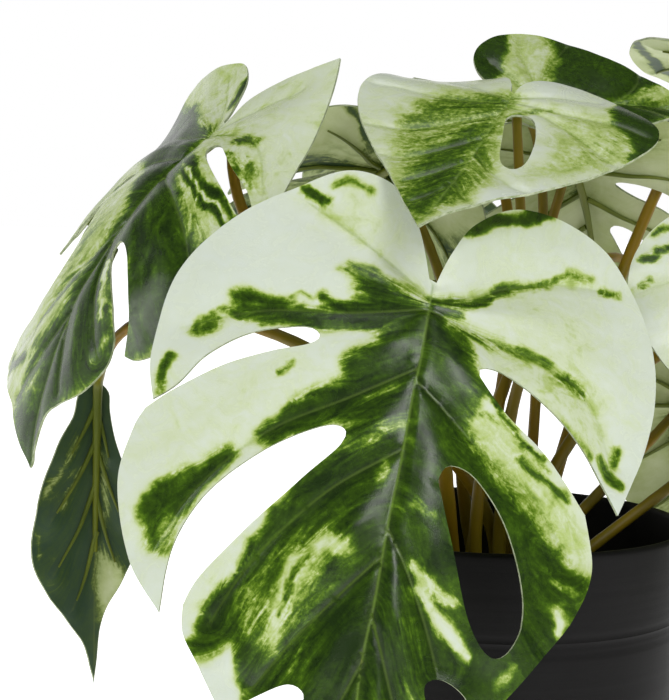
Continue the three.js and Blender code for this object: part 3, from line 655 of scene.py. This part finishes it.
def beside(lines, offsets, spacing):
    """Points on each line and at offsets to both its sides, none closer than the spacing."""
    kept = {}
    for offset in offsets:
        for line in lines:
            along = np.gradient(line, axis=0)
            across = unit(np.stack([-along[:, 1], along[:, 0]], 1))
            for point in np.vstack([line + across * offset, line - across * offset]):
                cell = tuple(np.floor(point / spacing).astype(int))
                around = [kept.get((cell[0] + i, cell[1] + j)) for i in (-1, 0, 1) for j in (-1, 0, 1)]
                if all(p is None or np.hypot(*(p - point)) > spacing for p in around):
                    kept[cell] = point
    return np.array(list(kept.values()))


def inner_points(leaf, loops):
    """A lattice of points over the blade, which rows along the veins take the place of."""
    scale = leaf["scale"]
    step = BLADE_STEP / scale
    column = step * math.sqrt(3) / 2
    rim = np.vstack(loops)
    low, high = rim.min(0), rim.max(0)
    lattice = []
    for i in range(math.ceil(low[0] / column), math.floor(high[0] / column) + 1):
        ys = np.arange(low[1] + (step / 2 if i % 2 else 0), high[1], step)
        lattice.append(np.stack([np.full(len(ys), i * column), ys], 1))
    lattice = np.vstack(lattice)
    lines = mould_lines(leaf, step)
    band = VEIN_BAND / scale
    lattice = lattice[distance_to_any(lattice, lines) > band + step * 0.4]
    lattice = np.vstack([lattice, beside(lines, [0, VEIN_ROW / scale, band], step * 0.38)])
    lattice = lattice[on_blade(lattice, loops)]
    return lattice[distance_to_any(lattice, [closed(loop) for loop in loops]) > step * 0.5]


def flat_blade(leaf):
    """Flat points and triangles of the blade, cut to its outline."""
    loops = blade_loops(leaf)
    edges = []
    for loop in loops:
        start, count = len(edges), len(loop)
        edges += [(start + i, start + (i + 1) % count) for i in range(count)]
    points = [Vector(p) for p in np.vstack([*loops, inner_points(leaf, loops)])]
    verts, _, faces, _, _, _ = delaunay_2d_cdt(points, edges, [], 0, 1e-6)
    flat = np.array([tuple(v) for v in verts])
    triangles = np.array([f for f in faces if len(f) == 3])
    triangles = triangles[on_blade(flat[triangles].mean(1), loops)]
    a, b, c = (flat[triangles[:, k]] for k in range(3))
    area = (b[:, 0] - a[:, 0]) * (c[:, 1] - a[:, 1]) - (b[:, 1] - a[:, 1]) * (c[:, 0] - a[:, 0])
    triangles[area < 0] = triangles[area < 0][:, ::-1]
    used, triangles = np.unique(triangles[np.abs(area) > 1e-9], return_inverse=True)
    return flat[used], triangles.reshape(-1, 3)


# Veins, marbling, painted crease shade and relief of a blade

def vein_reach(leaf, points):
    """Distance to the midrib, and for every side vein the distance to it, the length along
    it, and the distance once more but far where the vein is on the blade's other half."""
    midrib, *veins = mould_lines(leaf, 6)
    left = points[:, 0] < np.interp(points[:, 1], midrib[:, 1], midrib[:, 0])
    reach = np.array([distance_to(points, vein) for vein in veins])
    own_half = [(vein[-1][0] < 0) == left for vein in veins]
    near = np.where(own_half, reach[:, 0], FAR)
    return distance_to(points, midrib)[0], reach[:, 0], reach[:, 1], near


def between_veins(first, second, distances, lengths):
    """The grain: a number that counts from vein to vein, and the length outwards along
    them. Where the two aren't neighbours, the count runs on slowly from the first."""
    d1, d2 = distances
    apart = np.abs(first - second) > 1
    share = np.where(apart, 0, d1 / (d1 + d2 + 1e-6))
    count = first + np.where(apart, 0.45 * d1 / 12, share * (second - first))
    return count, lengths[0] * (1 - share) + lengths[1] * share


def vein_fields(leaf, flat):
    """Distances in millimetres to the midrib and the nearest side vein, the length along
    that vein, and the grain."""
    to_midrib, _, lengths, near = vein_reach(leaf, flat)
    order = np.argsort(near, axis=0)[:2]
    distances = np.take_along_axis(near, order, 0)
    lengths = np.take_along_axis(lengths, order, 0)
    count, length = between_veins(*order, distances, lengths)
    scale = leaf["scale"]
    return to_midrib * scale, distances[0] * scale, lengths[0] * scale, count, length * scale


def grain_at_corners(leaf, number, flat, triangles):
    """The grain at the three corners of each triangle, counted from the veins that its
    middle lies between, so that no triangle spans a break in the count."""
    _, distances, lengths, _ = vein_reach(leaf, flat)
    near = vein_reach(leaf, flat[triangles].mean(1))[3]
    pair = np.argsort(near, axis=0)[:2, :, None]
    count, length = between_veins(*pair, [distances[vein, triangles] for vein in pair],
                                  [lengths[vein, triangles] for vein in pair])
    return np.stack([count * 0.25 + number * 1.7, length * leaf["scale"] / UV_UNIT], -1)


def green_amount(leaf, number, flat, count, length):
    """Share of green over the blade, from 0, cream, to 1, darkest green. The painted areas
    and lines are wavy by a millimetre or two."""
    sway = lattice_noise(number * 7 + 1, count * 0.9 + 20, length / (34 * leaf["scale"]) + 3)
    amount = leaf["base"] + leaf["sway"] * (sway - 0.5) * 1.6
    wander = [3.0 * (plane_noise(seed, flat, 7.0, 40) - 0.5)
              + 1.4 * (plane_noise(seed + 1, flat, 2.9, 40) - 0.5) for seed in (number * 9, number * 9 + 4)]
    moved = flat + np.stack(wander, 1)
    for kind, value, width, points in leaf["paint"]:
        line = mirrored(leaf, points)
        if kind == "area":
            edge, _ = distance_to(moved, closed(line))
            weight = smoothstep(-1.5 * width, 1.5 * width, np.where(inside(moved, line), edge, -edge))
        else:
            near, _ = distance_to(moved, polyline(line, 3))
            weight = 1 - smoothstep(width * 0.1, width * 1.4, near)
        amount = amount + (value - amount) * weight
    return np.clip(amount, 0, 1)


def blade_marks(leaf, number, flat, fields):
    """What the material reads at each point: share of green and painted crease shade, vein line, feather."""
    to_midrib, to_vein, along, count, length = fields
    scale = leaf["scale"]
    # Painted crease shade: a greener, darker band along the sunk side veins, stronger where the panels swell
    # higher
    crease_shade = 0.22 * leaf["swell"] ** 2 * hump(to_vein, 1.7) * np.exp(-along / (70 * scale))
    green = np.clip(green_amount(leaf, number, flat, count, length) + crease_shade, 0, 1)
    line = np.maximum(hump(to_midrib, 0.42), 0.7 * hump(to_vein, 0.4) * np.exp(-along / (80 * scale)))
    ones = np.ones(len(flat))
    return np.stack([green, line, leaf["feather"] * ones, ones], 1)


def relief(leaf, number, flat, fields):
    """Height of the moulded top in millimetres: sunk veins, swollen panels between, and
    waves of 17 and 6 mm."""
    to_midrib, to_vein, along, _, _ = fields
    scale = leaf["scale"]
    fade = np.exp(-along / (90 * scale))
    midrib = -MIDRIB_DEPTH * hump(to_midrib, VEIN_WIDTH)
    vein = -(0.25 + 0.5 * fade) * hump(to_vein, VEIN_WIDTH)
    swell = PANEL_HEIGHT * (1 - hump(to_midrib, PANEL_SLOPE)) * (1 - hump(to_vein, PANEL_SLOPE * scale + 1))
    swell *= (0.35 + 0.65 * fade) * leaf["swell"]
    wave = plane_noise(number + 40, flat, 17, 9) - 0.5
    ripple = plane_noise(number + 80, flat, 6, 30) - 0.5
    return midrib + vein + (swell + wave + 0.22 * ripple) * scale


# Building the blades

def tube(path, radii, sides):
    """Round bar along a path of points, with flat ends."""
    across = np.array([0.3, 0.9, 0.3])
    verts, faces = [], []
    for i, (p, t, r) in enumerate(zip(path, unit(np.gradient(path, axis=0)), radii)):
        across = across - t * (across @ t)
        across /= np.linalg.norm(across)
        other = np.cross(t, across)
        for k in range(sides):
            angle = 2 * math.pi * k / sides
            verts.append(p + r * (across * math.cos(angle) + other * math.sin(angle)))
        if i:
            for k in range(sides):
                a, b = (i - 1) * sides + k, (i - 1) * sides + (k + 1) % sides
                faces.append((a, b, b + sides, a + sides))
    last = (len(path) - 1) * sides
    faces.append(tuple(range(sides))[::-1])
    faces.append(tuple(last + k for k in range(sides)))
    return verts, faces


def vein_ribs(leaf, number):
    """The raised rib under each side vein: its points and faces, and its flat places."""
    for run in mould_lines(leaf, 3)[1:]:
        run = run[1:int(len(run) * 0.92)]
        sunk = relief(leaf, number, run, vein_fields(leaf, run))
        radii = np.linspace(VEIN_RIB_RADIUS, VEIN_RIB_END_RADIUS, len(run)) * (0.45 + 0.55 * leaf["scale"])
        lower = (sunk - BLADE_THICKNESS / 2 - radii * 0.55)[:, None]
        path = blade_surface(leaf, run) + blade_normals(leaf, run) * lower
        yield *tube(path, radii, VEIN_RIB_SIDES), np.repeat(run, VEIN_RIB_SIDES, axis=0)


def shell_faces(triangles, count):
    """Faces of the top, the underside and the cut edge, of a shell with count points in
    its top and as many in its underside."""
    directed = {(t[k], t[(k + 1) % 3]) for t in triangles.tolist() for k in range(3)}
    cut = [(b + count, a + count, a, b) for a, b in directed if (b, a) not in directed]
    return [tuple(t[::-1]) for t in triangles], [tuple(t + count) for t in triangles], cut


def set_uv(mesh, name, places):
    layer = mesh.uv_layers.new(name=name)
    layer.data.foreach_set("uv", places.astype(np.float32).ravel())


def make_blade(leaf, number, finishes):
    flat, triangles = flat_blade(leaf)
    fields = vein_fields(leaf, flat)
    height = relief(leaf, number, flat, fields)[:, None]
    middle, normals = blade_surface(leaf, flat), blade_normals(leaf, flat)
    half = BLADE_THICKNESS / 2
    verts = [*(middle + normals * (half + height)), *(middle + normals * (height - half))]
    top, under, cut = shell_faces(triangles, len(flat))
    faces = top + under + cut
    slots = [TOP_FACE] * len(top) + [UNDER_FACE] * len(under) + [CUT_EDGE] * len(cut)
    plan = [flat, flat]
    marks = [blade_marks(leaf, number, flat, fields)] * 2
    for rib_verts, rib_faces, rib_plan in vein_ribs(leaf, number):
        faces += [tuple(len(verts) + k for k in face) for face in rib_faces]
        slots += [RIB_FACE] * len(rib_faces)
        verts += rib_verts
        plan.append(rib_plan)
        marks.append(np.tile([0.5, 0, 1, 1], (len(rib_verts), 1)))
    mesh = bpy.data.meshes.new(f"blade-{number:02d}")
    mesh.from_pydata([tuple(v * MM) for v in verts], [], faces)
    mesh.polygons.foreach_set("material_index", slots)
    corners = np.zeros(len(mesh.loops), np.int32)
    mesh.loops.foreach_get("vertex_index", corners)
    set_uv(mesh, "plan", (np.vstack(plan) * leaf["scale"] / UV_UNIT)[corners])
    grain = grain_at_corners(leaf, number, flat, triangles)
    faced = np.vstack([grain[:, ::-1].reshape(-1, 2), grain.reshape(-1, 2)])
    set_uv(mesh, "grain", np.vstack([faced, np.zeros((len(corners) - len(faced), 2))]))
    # Share of green with the painted crease shade along the side veins, vein line and feather, at every
    # point
    marbling_and_crease_shade = mesh.attributes.new("marbling_and_crease_shade", "FLOAT_COLOR", "POINT")
    marbling_and_crease_shade.data.foreach_set("color", np.vstack(marks).astype(np.float32).ravel())
    for finish in finishes:
        mesh.materials.append(finish)
    blade = add_to_scene(f"blade-{number:02d}", mesh)
    smooth(50)
    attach(blade, "root")
    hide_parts(f"leaf-{number:02d}")


# Stems

def handle_curve(p0, p1, p2, p3, count):
    """Points on a smooth curve from p0 to p3 with the handles p1 and p2."""
    t = np.linspace(0, 1, count)[:, None]
    return (1 - t) ** 3 * p0 + 3 * (1 - t) ** 2 * t * p1 + 3 * (1 - t) * t * t * p2 + t ** 3 * p3


def stem_path(leaf):
    """Points and radii of a stem: from its hole over the arch and the knee, then along
    the midrib under the blade."""
    hole, rise, lean, reach, turn = leaf["stem"]
    scale = leaf["scale"]
    foot_radius, neck = 1.75 + 0.75 * scale, 1.15 + 0.75 * scale
    steepest = max(0.0, -min(leaf["fold"]))
    matrix = turn_matrix(leaf)
    at = np.array(leaf["at"], float)

    def rib_point(y, radius):
        point, normal = midrib_frame(leaf, y)
        drop = (BLADE_THICKNESS / 2 + RIB_GAP + radius) / math.cos(math.radians(steepest))
        return matrix @ (point - normal * drop) + at

    pitch = math.radians(leaf["pitch"])
    along = matrix @ np.array([math.cos(pitch), 0, -math.sin(pitch)])
    normal = matrix @ np.array([math.sin(pitch), 0, math.cos(pitch)])
    arriving = along * math.cos(math.radians(turn)) + normal * math.sin(math.radians(turn))
    collar = rib_point(0, neck)
    knee = collar - along * KNEE_SET_BACK - arriving * KNEE_LENGTH
    angle = math.radians(STEM_SPIRAL_DEGREES * hole)
    spread = STEM_SPREAD * math.sqrt(hole + 0.5)
    foot = np.array([spread * math.cos(angle), spread * math.sin(angle),
                     SOIL_TOP + STEM_STRAIGHT_ABOVE_SOIL])
    up = foot + np.array([(at[0] - foot[0]) * lean, (at[1] - foot[1]) * lean, rise])
    start = np.array([foot[0], foot[1], SOIL_TOP - STEM_HOLE_DEPTH + 0.3])
    arch = handle_curve(foot, up, knee - arriving * reach, knee, ARCH_POINTS)
    bend = handle_curve(knee, knee + arriving * KNEE_HANDLE, collar - along * KNEE_HANDLE, collar,
                        BEND_POINTS)
    share = np.linspace(0, 1, RIB_POINTS)[1:]
    rib_radii = neck + (RIB_END_RADIUS - neck) * share
    ribs = [rib_point(s * RIB_SHARE * LEAF_LENGTH * scale, r) for s, r in zip(share, rib_radii)]
    path = np.vstack([start, arch, bend[1:], ribs])
    radii = np.concatenate([[foot_radius], np.linspace(foot_radius, neck, ARCH_POINTS),
                            np.full(BEND_POINTS - 1, neck), rib_radii])
    return path, radii


def round_bar(number, path, radii):
    """The stem of that number as a closed round mesh along its path."""
    curve = bpy.data.curves.new(f"stem-run-{number:02d}", "CURVE")
    curve.dimensions = "3D"
    curve.bevel_depth = MM
    curve.bevel_resolution = 5
    curve.use_fill_caps = True
    run = curve.splines.new("POLY")
    run.points.add(len(path) - 1)
    for point, place, radius in zip(run.points, path, radii):
        point.co = (*(place * MM), 1)
        point.radius = radius
    add_to_scene(f"stalk-{number:02d}", curve)
    bpy.ops.object.convert(target="MESH")
    bpy.ops.object.mode_set(mode="EDIT")
    bpy.ops.mesh.select_all(action="SELECT")
    bpy.ops.mesh.remove_doubles(threshold=1e-6)
    bpy.ops.mesh.normals_make_consistent(inside=False)
    bpy.ops.object.mode_set(mode="OBJECT")
    return bpy.context.object


def make_stem(leaf, number, finish):
    path, radii = stem_path(leaf)
    draw = np.random.default_rng(900 + number)
    radii = radii * (1 + 0.02 * draw.standard_normal(len(radii)))
    stem = round_bar(number, path, radii)
    smooth(50)
    _, along = distance_to(places_of(stem), path)
    lengths = np.concatenate([[0], np.cumsum(np.linalg.norm(np.diff(path, axis=0), axis=1))])
    knee, first_rib = lengths[ARCH_POINTS], lengths[ARCH_POINTS + BEND_POINTS]
    rib = stem.data.attributes.new("rib", "FLOAT", "POINT")
    rib.data.foreach_set("value", smoothstep(knee - 8, first_rib, along).astype(np.float32))
    set_finish(stem, finish)
    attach(stem, "root")
    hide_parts(f"stem-{number:02d}")


# Pot and soil

def turned_solid(name, profile, sides):
    """A disc extruded up and in again, ring by ring, along a profile of (radius, height)."""
    radius, height = profile[0]
    bpy.ops.mesh.primitive_circle_add(vertices=sides, radius=radius * MM, fill_type="NGON",
                                      location=(0, 0, height * MM))
    body = bpy.context.object
    body.name = name
    bpy.ops.object.transform_apply(location=True, rotation=True, scale=True)
    bpy.ops.object.mode_set(mode="EDIT")
    bpy.ops.mesh.select_all(action="SELECT")
    for next_radius, next_height in profile[1:]:
        rise = (next_height - height) * MM
        bpy.ops.mesh.extrude_region_move(TRANSFORM_OT_translate={"value": (0, 0, rise)})
        grow = next_radius / radius
        bpy.ops.transform.resize(value=(grow, grow, 1), center_override=(0, 0, next_height * MM))
        radius, height = next_radius, next_height
    bpy.ops.mesh.select_all(action="SELECT")
    bpy.ops.mesh.normals_make_consistent(inside=False)
    bpy.ops.object.mode_set(mode="OBJECT")
    return body


def wall_radius(z):
    return POT_BASE_RADIUS + (POT_RIM_RADIUS - POT_BASE_RADIUS) * z / POT_HEIGHT


def pot_profile():
    """Up the grooved outside, over the lip, down the inside and in over the floor."""
    foot = [(POT_BASE_RADIUS - 2.2, 0), (POT_BASE_RADIUS - 0.9, 0.25),
            (wall_radius(1.1) - 0.25, 1.1), (wall_radius(2.4), 2.4)]
    draw = np.random.default_rng(5)
    outside = []
    for z in np.arange(6, 109.5, 1.0):
        ring = draw.standard_normal() * 0.03
        for groove, depth in POT_GROOVES:
            ring -= depth * math.exp(-((z - groove) / GROOVE_WIDTH) ** 2)
        outside.append((wall_radius(z) + ring, z))
    middle, edge = POT_RIM_RADIUS - POT_WALL / 2, POT_HEIGHT - LIP_HEIGHT
    lip = [(middle + POT_WALL / 2 * math.cos(a), edge + LIP_HEIGHT * math.sin(a))
           for a in np.radians(range(0, 181, 20))]
    inside_wall = [(wall_radius(z) - POT_WALL, z) for z in (106, 98, 90, 80, 60, 30, 8)]
    floor = [(wall_radius(POT_FLOOR) - POT_WALL - 2, POT_FLOOR), (20, POT_FLOOR)]
    return foot + outside + lip + inside_wall + floor


def make_pot(finish):
    pot = turned_solid("planter", pot_profile(), 160)
    smooth(35)
    set_finish(pot, finish)
    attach(pot, "root")
    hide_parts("pot")


def soil_block():
    """The soil, a little smaller than the pot's inside, with an uneven top."""
    radius = lambda z: wall_radius(z) - POT_WALL - SOIL_GAP
    shoulder = SOIL_TOP - 1.5
    top = [(radius(shoulder) * s, shoulder + 1.5 * (1 - s * s)) for s in np.linspace(1, 0.02, 38)]
    soil = turned_solid("potting-soil", [(radius(4.4), 4.4), *top], 150)
    places = places_of(soil)
    on_top = (places[:, 2] > 60) & (np.hypot(places[:, 0], places[:, 1]) < radius(80) - 0.6)
    rough = (plane_noise(3, places, 3.1, 50) + 0.6 * plane_noise(4, places, 1.5, 50)
             + 1.2 * plane_noise(6, places, 11, 50))
    places[:, 2] += np.where(on_top, (rough - 1.6) * 1.3, 0)
    soil.data.vertices.foreach_set("co", (places * MM).astype(np.float32).ravel())
    return soil


def crumb_mesh():
    """Small pebbles strewn over the soil, fewer of them among the stems."""
    bpy.ops.mesh.primitive_ico_sphere_add(subdivisions=1, radius=MM)
    pebble = bpy.context.object
    shape = np.array([v.co for v in pebble.data.vertices])
    sides = [tuple(p.vertices) for p in pebble.data.polygons]
    bpy.data.objects.remove(pebble)
    draw = np.random.default_rng(11)
    verts, faces = [], []
    for _ in range(CRUMBS):
        radius, angle = 54 * math.sqrt(draw.random()), draw.random() * 2 * math.pi
        if radius < 16 and draw.random() < 0.6:
            continue
        place = (radius * math.cos(angle), radius * math.sin(angle), SOIL_TOP - 0.9 + 0.9 * draw.random())
        size = 0.5 + 1.3 * draw.random() ** 2
        tilt, spin, _ = draw.random(3) * 6.28
        stretch = 0.6 + 0.8 * draw.random(3)
        turn = np.array(Matrix.Rotation(tilt, 3, "X") @ Matrix.Rotation(spin, 3, "Z"))
        faces += [tuple(len(verts) + k for k in side) for side in sides]
        verts += [tuple(v) for v in (shape * stretch * size) @ turn.T + np.array(place) * MM]
    mesh = bpy.data.meshes.new("crumbs")
    mesh.from_pydata(verts, [], faces)
    return mesh


def make_soil(finish):
    soil = soil_block()
    add_to_scene("crumbs", crumb_mesh())
    soil.select_set(True)
    bpy.context.view_layer.objects.active = soil
    bpy.ops.object.join()
    set_finish(soil, finish)
    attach(soil, "root")
    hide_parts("soil")


# Materials

class Nodes:
    """A node tree with short ways to add nodes and feed them."""

    def __init__(self, owner):
        owner.use_nodes = True
        self.tree = owner.node_tree

    def feed(self, socket, value):
        """Sets a socket to a constant, or joins another node's output to it."""
        if isinstance(value, (int, float, tuple)):
            socket.default_value = value
        else:
            self.tree.links.new(value, socket)

    def node(self, kind, inputs={}, **settings):
        node = self.tree.nodes.new(kind)
        for key, value in settings.items():
            setattr(node, key, value)
        for key, value in inputs.items():
            self.feed(node.inputs[key], value)
        return node

    def maths(self, operation, *values, clamp=False):
        node = self.node("ShaderNodeMath", dict(enumerate(values)), operation=operation, use_clamp=clamp)
        return node.outputs[0]


class Finish(Nodes):
    """A material under construction."""

    def __init__(self, name):
        self.material = bpy.data.materials.new(name)
        super().__init__(self.material)
        self.shader = self.tree.nodes["Principled BSDF"]

    def surface(self, colour, roughness, gloss=0.5):
        self.feed(self.shader.inputs["Base Color"], colour)
        self.feed(self.shader.inputs["Roughness"], roughness)
        self.feed(self.shader.inputs["Specular IOR Level"], gloss)

    def bump(self, height, strength, distance):
        bump = self.node("ShaderNodeBump", {"Strength": strength, "Distance": distance, "Height": height})
        self.feed(self.shader.inputs["Normal"], bump.outputs[0])

    def place(self):
        return self.node("ShaderNodeTexCoord").outputs["Object"]

    def uv(self, name):
        return self.node("ShaderNodeUVMap", uv_map=name).outputs[0]

    def scaled(self, vector, scale):
        return self.node("ShaderNodeMapping", {"Scale": scale, "Vector": vector}).outputs[0]

    def noise(self, vector, scale, detail=2.0, roughness=0.5, distortion=0.0):
        return self.node("ShaderNodeTexNoise", {
            "Scale": scale, "Detail": detail, "Roughness": roughness, "Distortion": distortion,
            "Vector": vector}).outputs["Fac"]

    def swing(self, noise, amount):
        """How far the noise is from its middle, times the amount."""
        return self.maths("MULTIPLY", self.maths("SUBTRACT", noise, 0.5), amount)

    def ramp(self, value, stops):
        node = self.node("ShaderNodeValToRGB", {"Fac": value})
        elements = node.color_ramp.elements
        while len(elements) < len(stops):
            elements.new(0.5)
        for element, (place, colour) in zip(elements, stops):
            element.position = place
            element.color = colour
        return node.outputs["Color"]

    def tones(self, value, *stops):
        """A ramp of 8-bit screen colours."""
        return self.ramp(value, [(place, linear(*colour)) for place, *colour in stops])

    def mix(self, factor, a, b):
        return self.node("ShaderNodeMix", {"Factor": factor, 6: a, 7: b}, data_type="RGBA").outputs[2]


def grey(v):
    return (v, v, v, 1)


def marbled_with_crease_shade(name, stops, vein_colour, vein_strength, roughness, sheen_roughness, gloss):
    """Printed leaf face with painted crease shade: feathered streaks of green run out along the veins."""
    f = Finish(name)
    marks = f.node("ShaderNodeAttribute", attribute_name="marbling_and_crease_shade").outputs["Color"]
    # The first channel holds the share of green together with the painted crease shade along the side veins
    green, line, feather = f.node("ShaderNodeSeparateColor", {0: marks}).outputs
    grain = f.uv("grain")
    plan = f.uv("plan")
    streak = f.noise(f.scaled(grain, (30, 7, 1)), 1.0, 4.0, 0.65, 0.8)
    fine = f.noise(f.scaled(grain, (52, 15, 1)), 1.0, 3.0, 0.65, 0.5)
    mottle = f.noise(plan, 12.0, 4.0, 0.6, 1.2)
    speckle = f.noise(plan, 62.0, 3.0, 0.7)
    # The noise breaks up the middle greens most, and hardly touches the cream
    window = f.ramp(green, [(0.0, grey(0.06)), (0.33, grey(0.2)), (0.5, grey(0.85)), (0.7, grey(0.9)),
                            (0.95, grey(0.55))])
    drawn = f.maths("MULTIPLY", window, feather)
    dabbed = f.maths("MULTIPLY", window, f.maths("SUBTRACT", 0.9, f.maths("MULTIPLY", feather, 0.3)))
    streaks = f.swing(streak, f.maths("MULTIPLY", drawn, 1.5))
    threads = f.swing(fine, f.maths("MULTIPLY", drawn, 0.3))
    amount = f.maths("ADD", f.maths("ADD", green, streaks), f.swing(speckle, dabbed))
    amount = f.maths("ADD", amount, f.maths("ADD", threads, f.swing(mottle, 0.34)), clamp=True)
    colour = f.mix(f.maths("MULTIPLY", line, vein_strength), f.tones(amount, *stops), vein_colour)
    uneven = f.maths("MULTIPLY_ADD", mottle, sheen_roughness, roughness - sheen_roughness / 2)
    f.surface(colour, uneven, gloss)
    f.bump(f.maths("ADD", f.noise(plan, 260.0, 2.0, 0.6), f.maths("MULTIPLY", fine, 0.6)), 0.14, 0.0003)
    return f.material


def plain(name, scale, detail, noise_roughness, stops, roughness):
    """A finish whose colour only varies with a noise in place."""
    f = Finish(name)
    f.surface(f.tones(f.noise(f.place(), scale, detail, noise_roughness), *stops), roughness)
    return f


def leaf_finishes():
    """In the order of a blade's slots."""
    top = marbled_with_crease_shade("printed leaf top with painted crease shade", [
        (0.0, 206, 215, 204), (0.16, 204, 213, 194), (0.27, 198, 209, 172), (0.37, 172, 190, 112),
        (0.46, 128, 154, 56), (0.55, 88, 120, 22), (0.65, 62, 93, 12), (0.78, 46, 72, 8), (1.0, 26, 46, 8)],
        linear(124, 152, 66), 0.5, 0.27, 0.08, 0.4)
    under = marbled_with_crease_shade("printed leaf underside with painted crease shade", [
        (0.0, 198, 206, 164), (0.3, 172, 184, 124), (0.44, 136, 152, 84), (0.54, 96, 114, 48),
        (0.7, 60, 82, 42), (1.0, 50, 72, 50)],
        linear(120, 128, 60), 0.3, 0.5, 0.1, 0.35)
    rib = plain("moulded rib", 90.0, 3.0, 0.5, [(0.3, 80, 94, 18), (0.7, 106, 118, 30)], 0.5)
    cut = plain("pale cut edge", 420.0, 3.0, 0.7, [(0.35, 122, 136, 92), (0.65, 172, 180, 150)], 0.7)
    return top, under, rib.material, cut.material


def stem_finish():
    """Olive brown, greener where the stem runs on as the midrib."""
    f = Finish("moulded stem")
    place = f.place()
    rib = f.node("ShaderNodeAttribute", attribute_name="rib").outputs["Fac"]
    tone = f.noise(f.scaled(place, (1, 1, 0.3)), 45.0, 4.0, 0.6)
    olive = f.tones(tone, (0.25, 92, 84, 8), (0.45, 120, 102, 10), (0.6, 138, 106, 12), (0.78, 150, 100, 16))
    moss = f.tones(tone, (0.3, 84, 96, 18), (0.7, 112, 120, 30))
    f.surface(f.mix(rib, olive, moss), 0.45, 0.35)
    f.bump(f.noise(f.scaled(place, (1, 1, 0.2)), 900.0, 3.0), 0.2, 0.0003)
    return f.material


def pot_finish():
    f = Finish("matte charcoal pot")
    place = f.place()
    cloud = f.noise(place, 22.0, 4.0, 0.6)
    f.surface(f.tones(cloud, (0.3, 12, 11, 11), (0.7, 18, 17, 17)), 0.6, 0.15)
    rings = f.noise(f.scaled(place, (6, 6, 420)), 1.0, 3.0, 0.6)
    grit = f.noise(place, 1500.0, 2.0)
    f.bump(f.maths("ADD", rings, f.maths("MULTIPLY", grit, 0.35)), 0.22, 0.0004)
    return f.material


def soil_finish():
    f = plain("potting soil", 260.0, 5.0, 0.7,
              [(0.3, 22, 16, 11), (0.55, 44, 33, 23), (0.75, 82, 63, 44)], 0.95)
    f.bump(f.noise(f.place(), 800.0, 5.0, 0.7), 0.6, 0.0008)
    return f.material


# Studio

def make_camera():
    pitch, roll = math.radians(CAMERA_PITCH), math.radians(CAMERA_ROLL)
    back = Vector((0, -math.cos(pitch), math.sin(pitch)))
    level = Vector((1, 0, 0))
    upright = Vector((0, math.sin(pitch), math.cos(pitch)))
    right = level * math.cos(roll) + upright * math.sin(roll)
    up = upright * math.cos(roll) - level * math.sin(roll)
    data = bpy.data.cameras.new("camera")
    data.sensor_width = SENSOR_WIDTH
    data.lens = CAMERA_FOCAL_PIXELS * SENSOR_WIDTH / CAMERA_LONG_SIDE
    data.clip_start = 0.05
    data.clip_end = 30
    camera = add_to_scene("camera", data)
    camera.matrix_world = Matrix.Translation(CAMERA_PLACE) @ Matrix((right, up, back)).transposed().to_4x4()
    bpy.context.scene.camera = camera


def make_floor():
    bpy.ops.mesh.primitive_plane_add(size=6)
    floor = bpy.context.object
    floor.name = "studio-floor"
    f = Finish("pale studio floor")
    f.surface((0.93, 0.93, 0.92, 1), 0.9)
    f.feed(f.shader.inputs["Emission Color"], (1, 1, 1, 1))
    f.feed(f.shader.inputs["Emission Strength"], 0.9)
    floor.data.materials.append(f.material)
    floor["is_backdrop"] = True


def make_lamp(name, place, target, size, power, in_gloss=True):
    data = bpy.data.lights.new(name, "AREA")
    data.shape = "RECTANGLE"
    data.size, data.size_y = size
    data.energy = power
    lamp = add_to_scene(name, data)
    lamp.location = place
    lamp.rotation_euler = (Vector(target) - Vector(place)).to_track_quat("-Z", "Y").to_euler()
    lamp.visible_glossy = in_gloss


def make_sky():
    """White all round for the camera. In gloss only its low part behind the plant shows."""
    world = bpy.data.worlds.new("studio")
    sky = Nodes(world)
    toward = sky.node("ShaderNodeTexCoord").outputs["Generated"]
    parts = sky.node("ShaderNodeSeparateXYZ", {0: toward})
    ray = sky.node("ShaderNodeLightPath")

    def graded(direction, at_zero, at_one):
        return sky.node("ShaderNodeMapRange", {"From Min": at_zero, "From Max": at_one,
                                               "Value": parts.outputs[direction]}).outputs[0]

    behind = sky.maths("MULTIPLY", graded("Y", -0.1, 0.6), graded("Z", 0.5, 0.15))
    fill = sky.maths("MULTIPLY", ray.outputs["Is Diffuse Ray"], 0.38)
    lit = sky.maths("MAXIMUM", sky.maths("MAXIMUM", behind, 0.03), fill)
    background = sky.tree.nodes["Background"]
    sky.feed(background.inputs["Color"], (1, 1, 1, 1))
    sky.feed(background.inputs["Strength"], sky.maths("MAXIMUM", lit, ray.outputs["Is Camera Ray"]))
    bpy.context.scene.world = world


def make_studio():
    bpy.context.scene.view_settings.view_transform = "Standard"
    make_sky()
    make_floor()
    make_lamp("left softbox", (-1.3, -0.17, 0.86), (0, 0, 0.2), (0.42, 0.42), 3.2)
    make_lamp("front softbox", (0.36, -1.15, 0.98), (0, -0.1, 0.2), (0.4, 0.5), 6.2)
    make_lamp("right softbox", (1.0, -1.1, 0.6), (0, 0, 0.15), (1.0, 1.0), 0.6, in_gloss=False)
    make_lamp("low fill", (-0.2, -1.3, 0.03), (0, 0, 0.2), (1.2, 0.5), 1, in_gloss=False)
    make_lamp("overhead softbox", (0.1, -0.05, 1.7), (0, 0, 0.15), (0.7, 0.7), 4.2)


make_camera()
make_studio()
leaf_materials = leaf_finishes()
stem_material = stem_finish()
for number, own in enumerate(LEAVES, start=1):
    leaf = USUAL | own
    make_blade(leaf, number, leaf_materials)
    make_stem(leaf, number, stem_material)
make_pot(pot_finish())
make_soil(soil_finish())

[[list(corner) for corner in box] for box in (cad_box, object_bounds())]
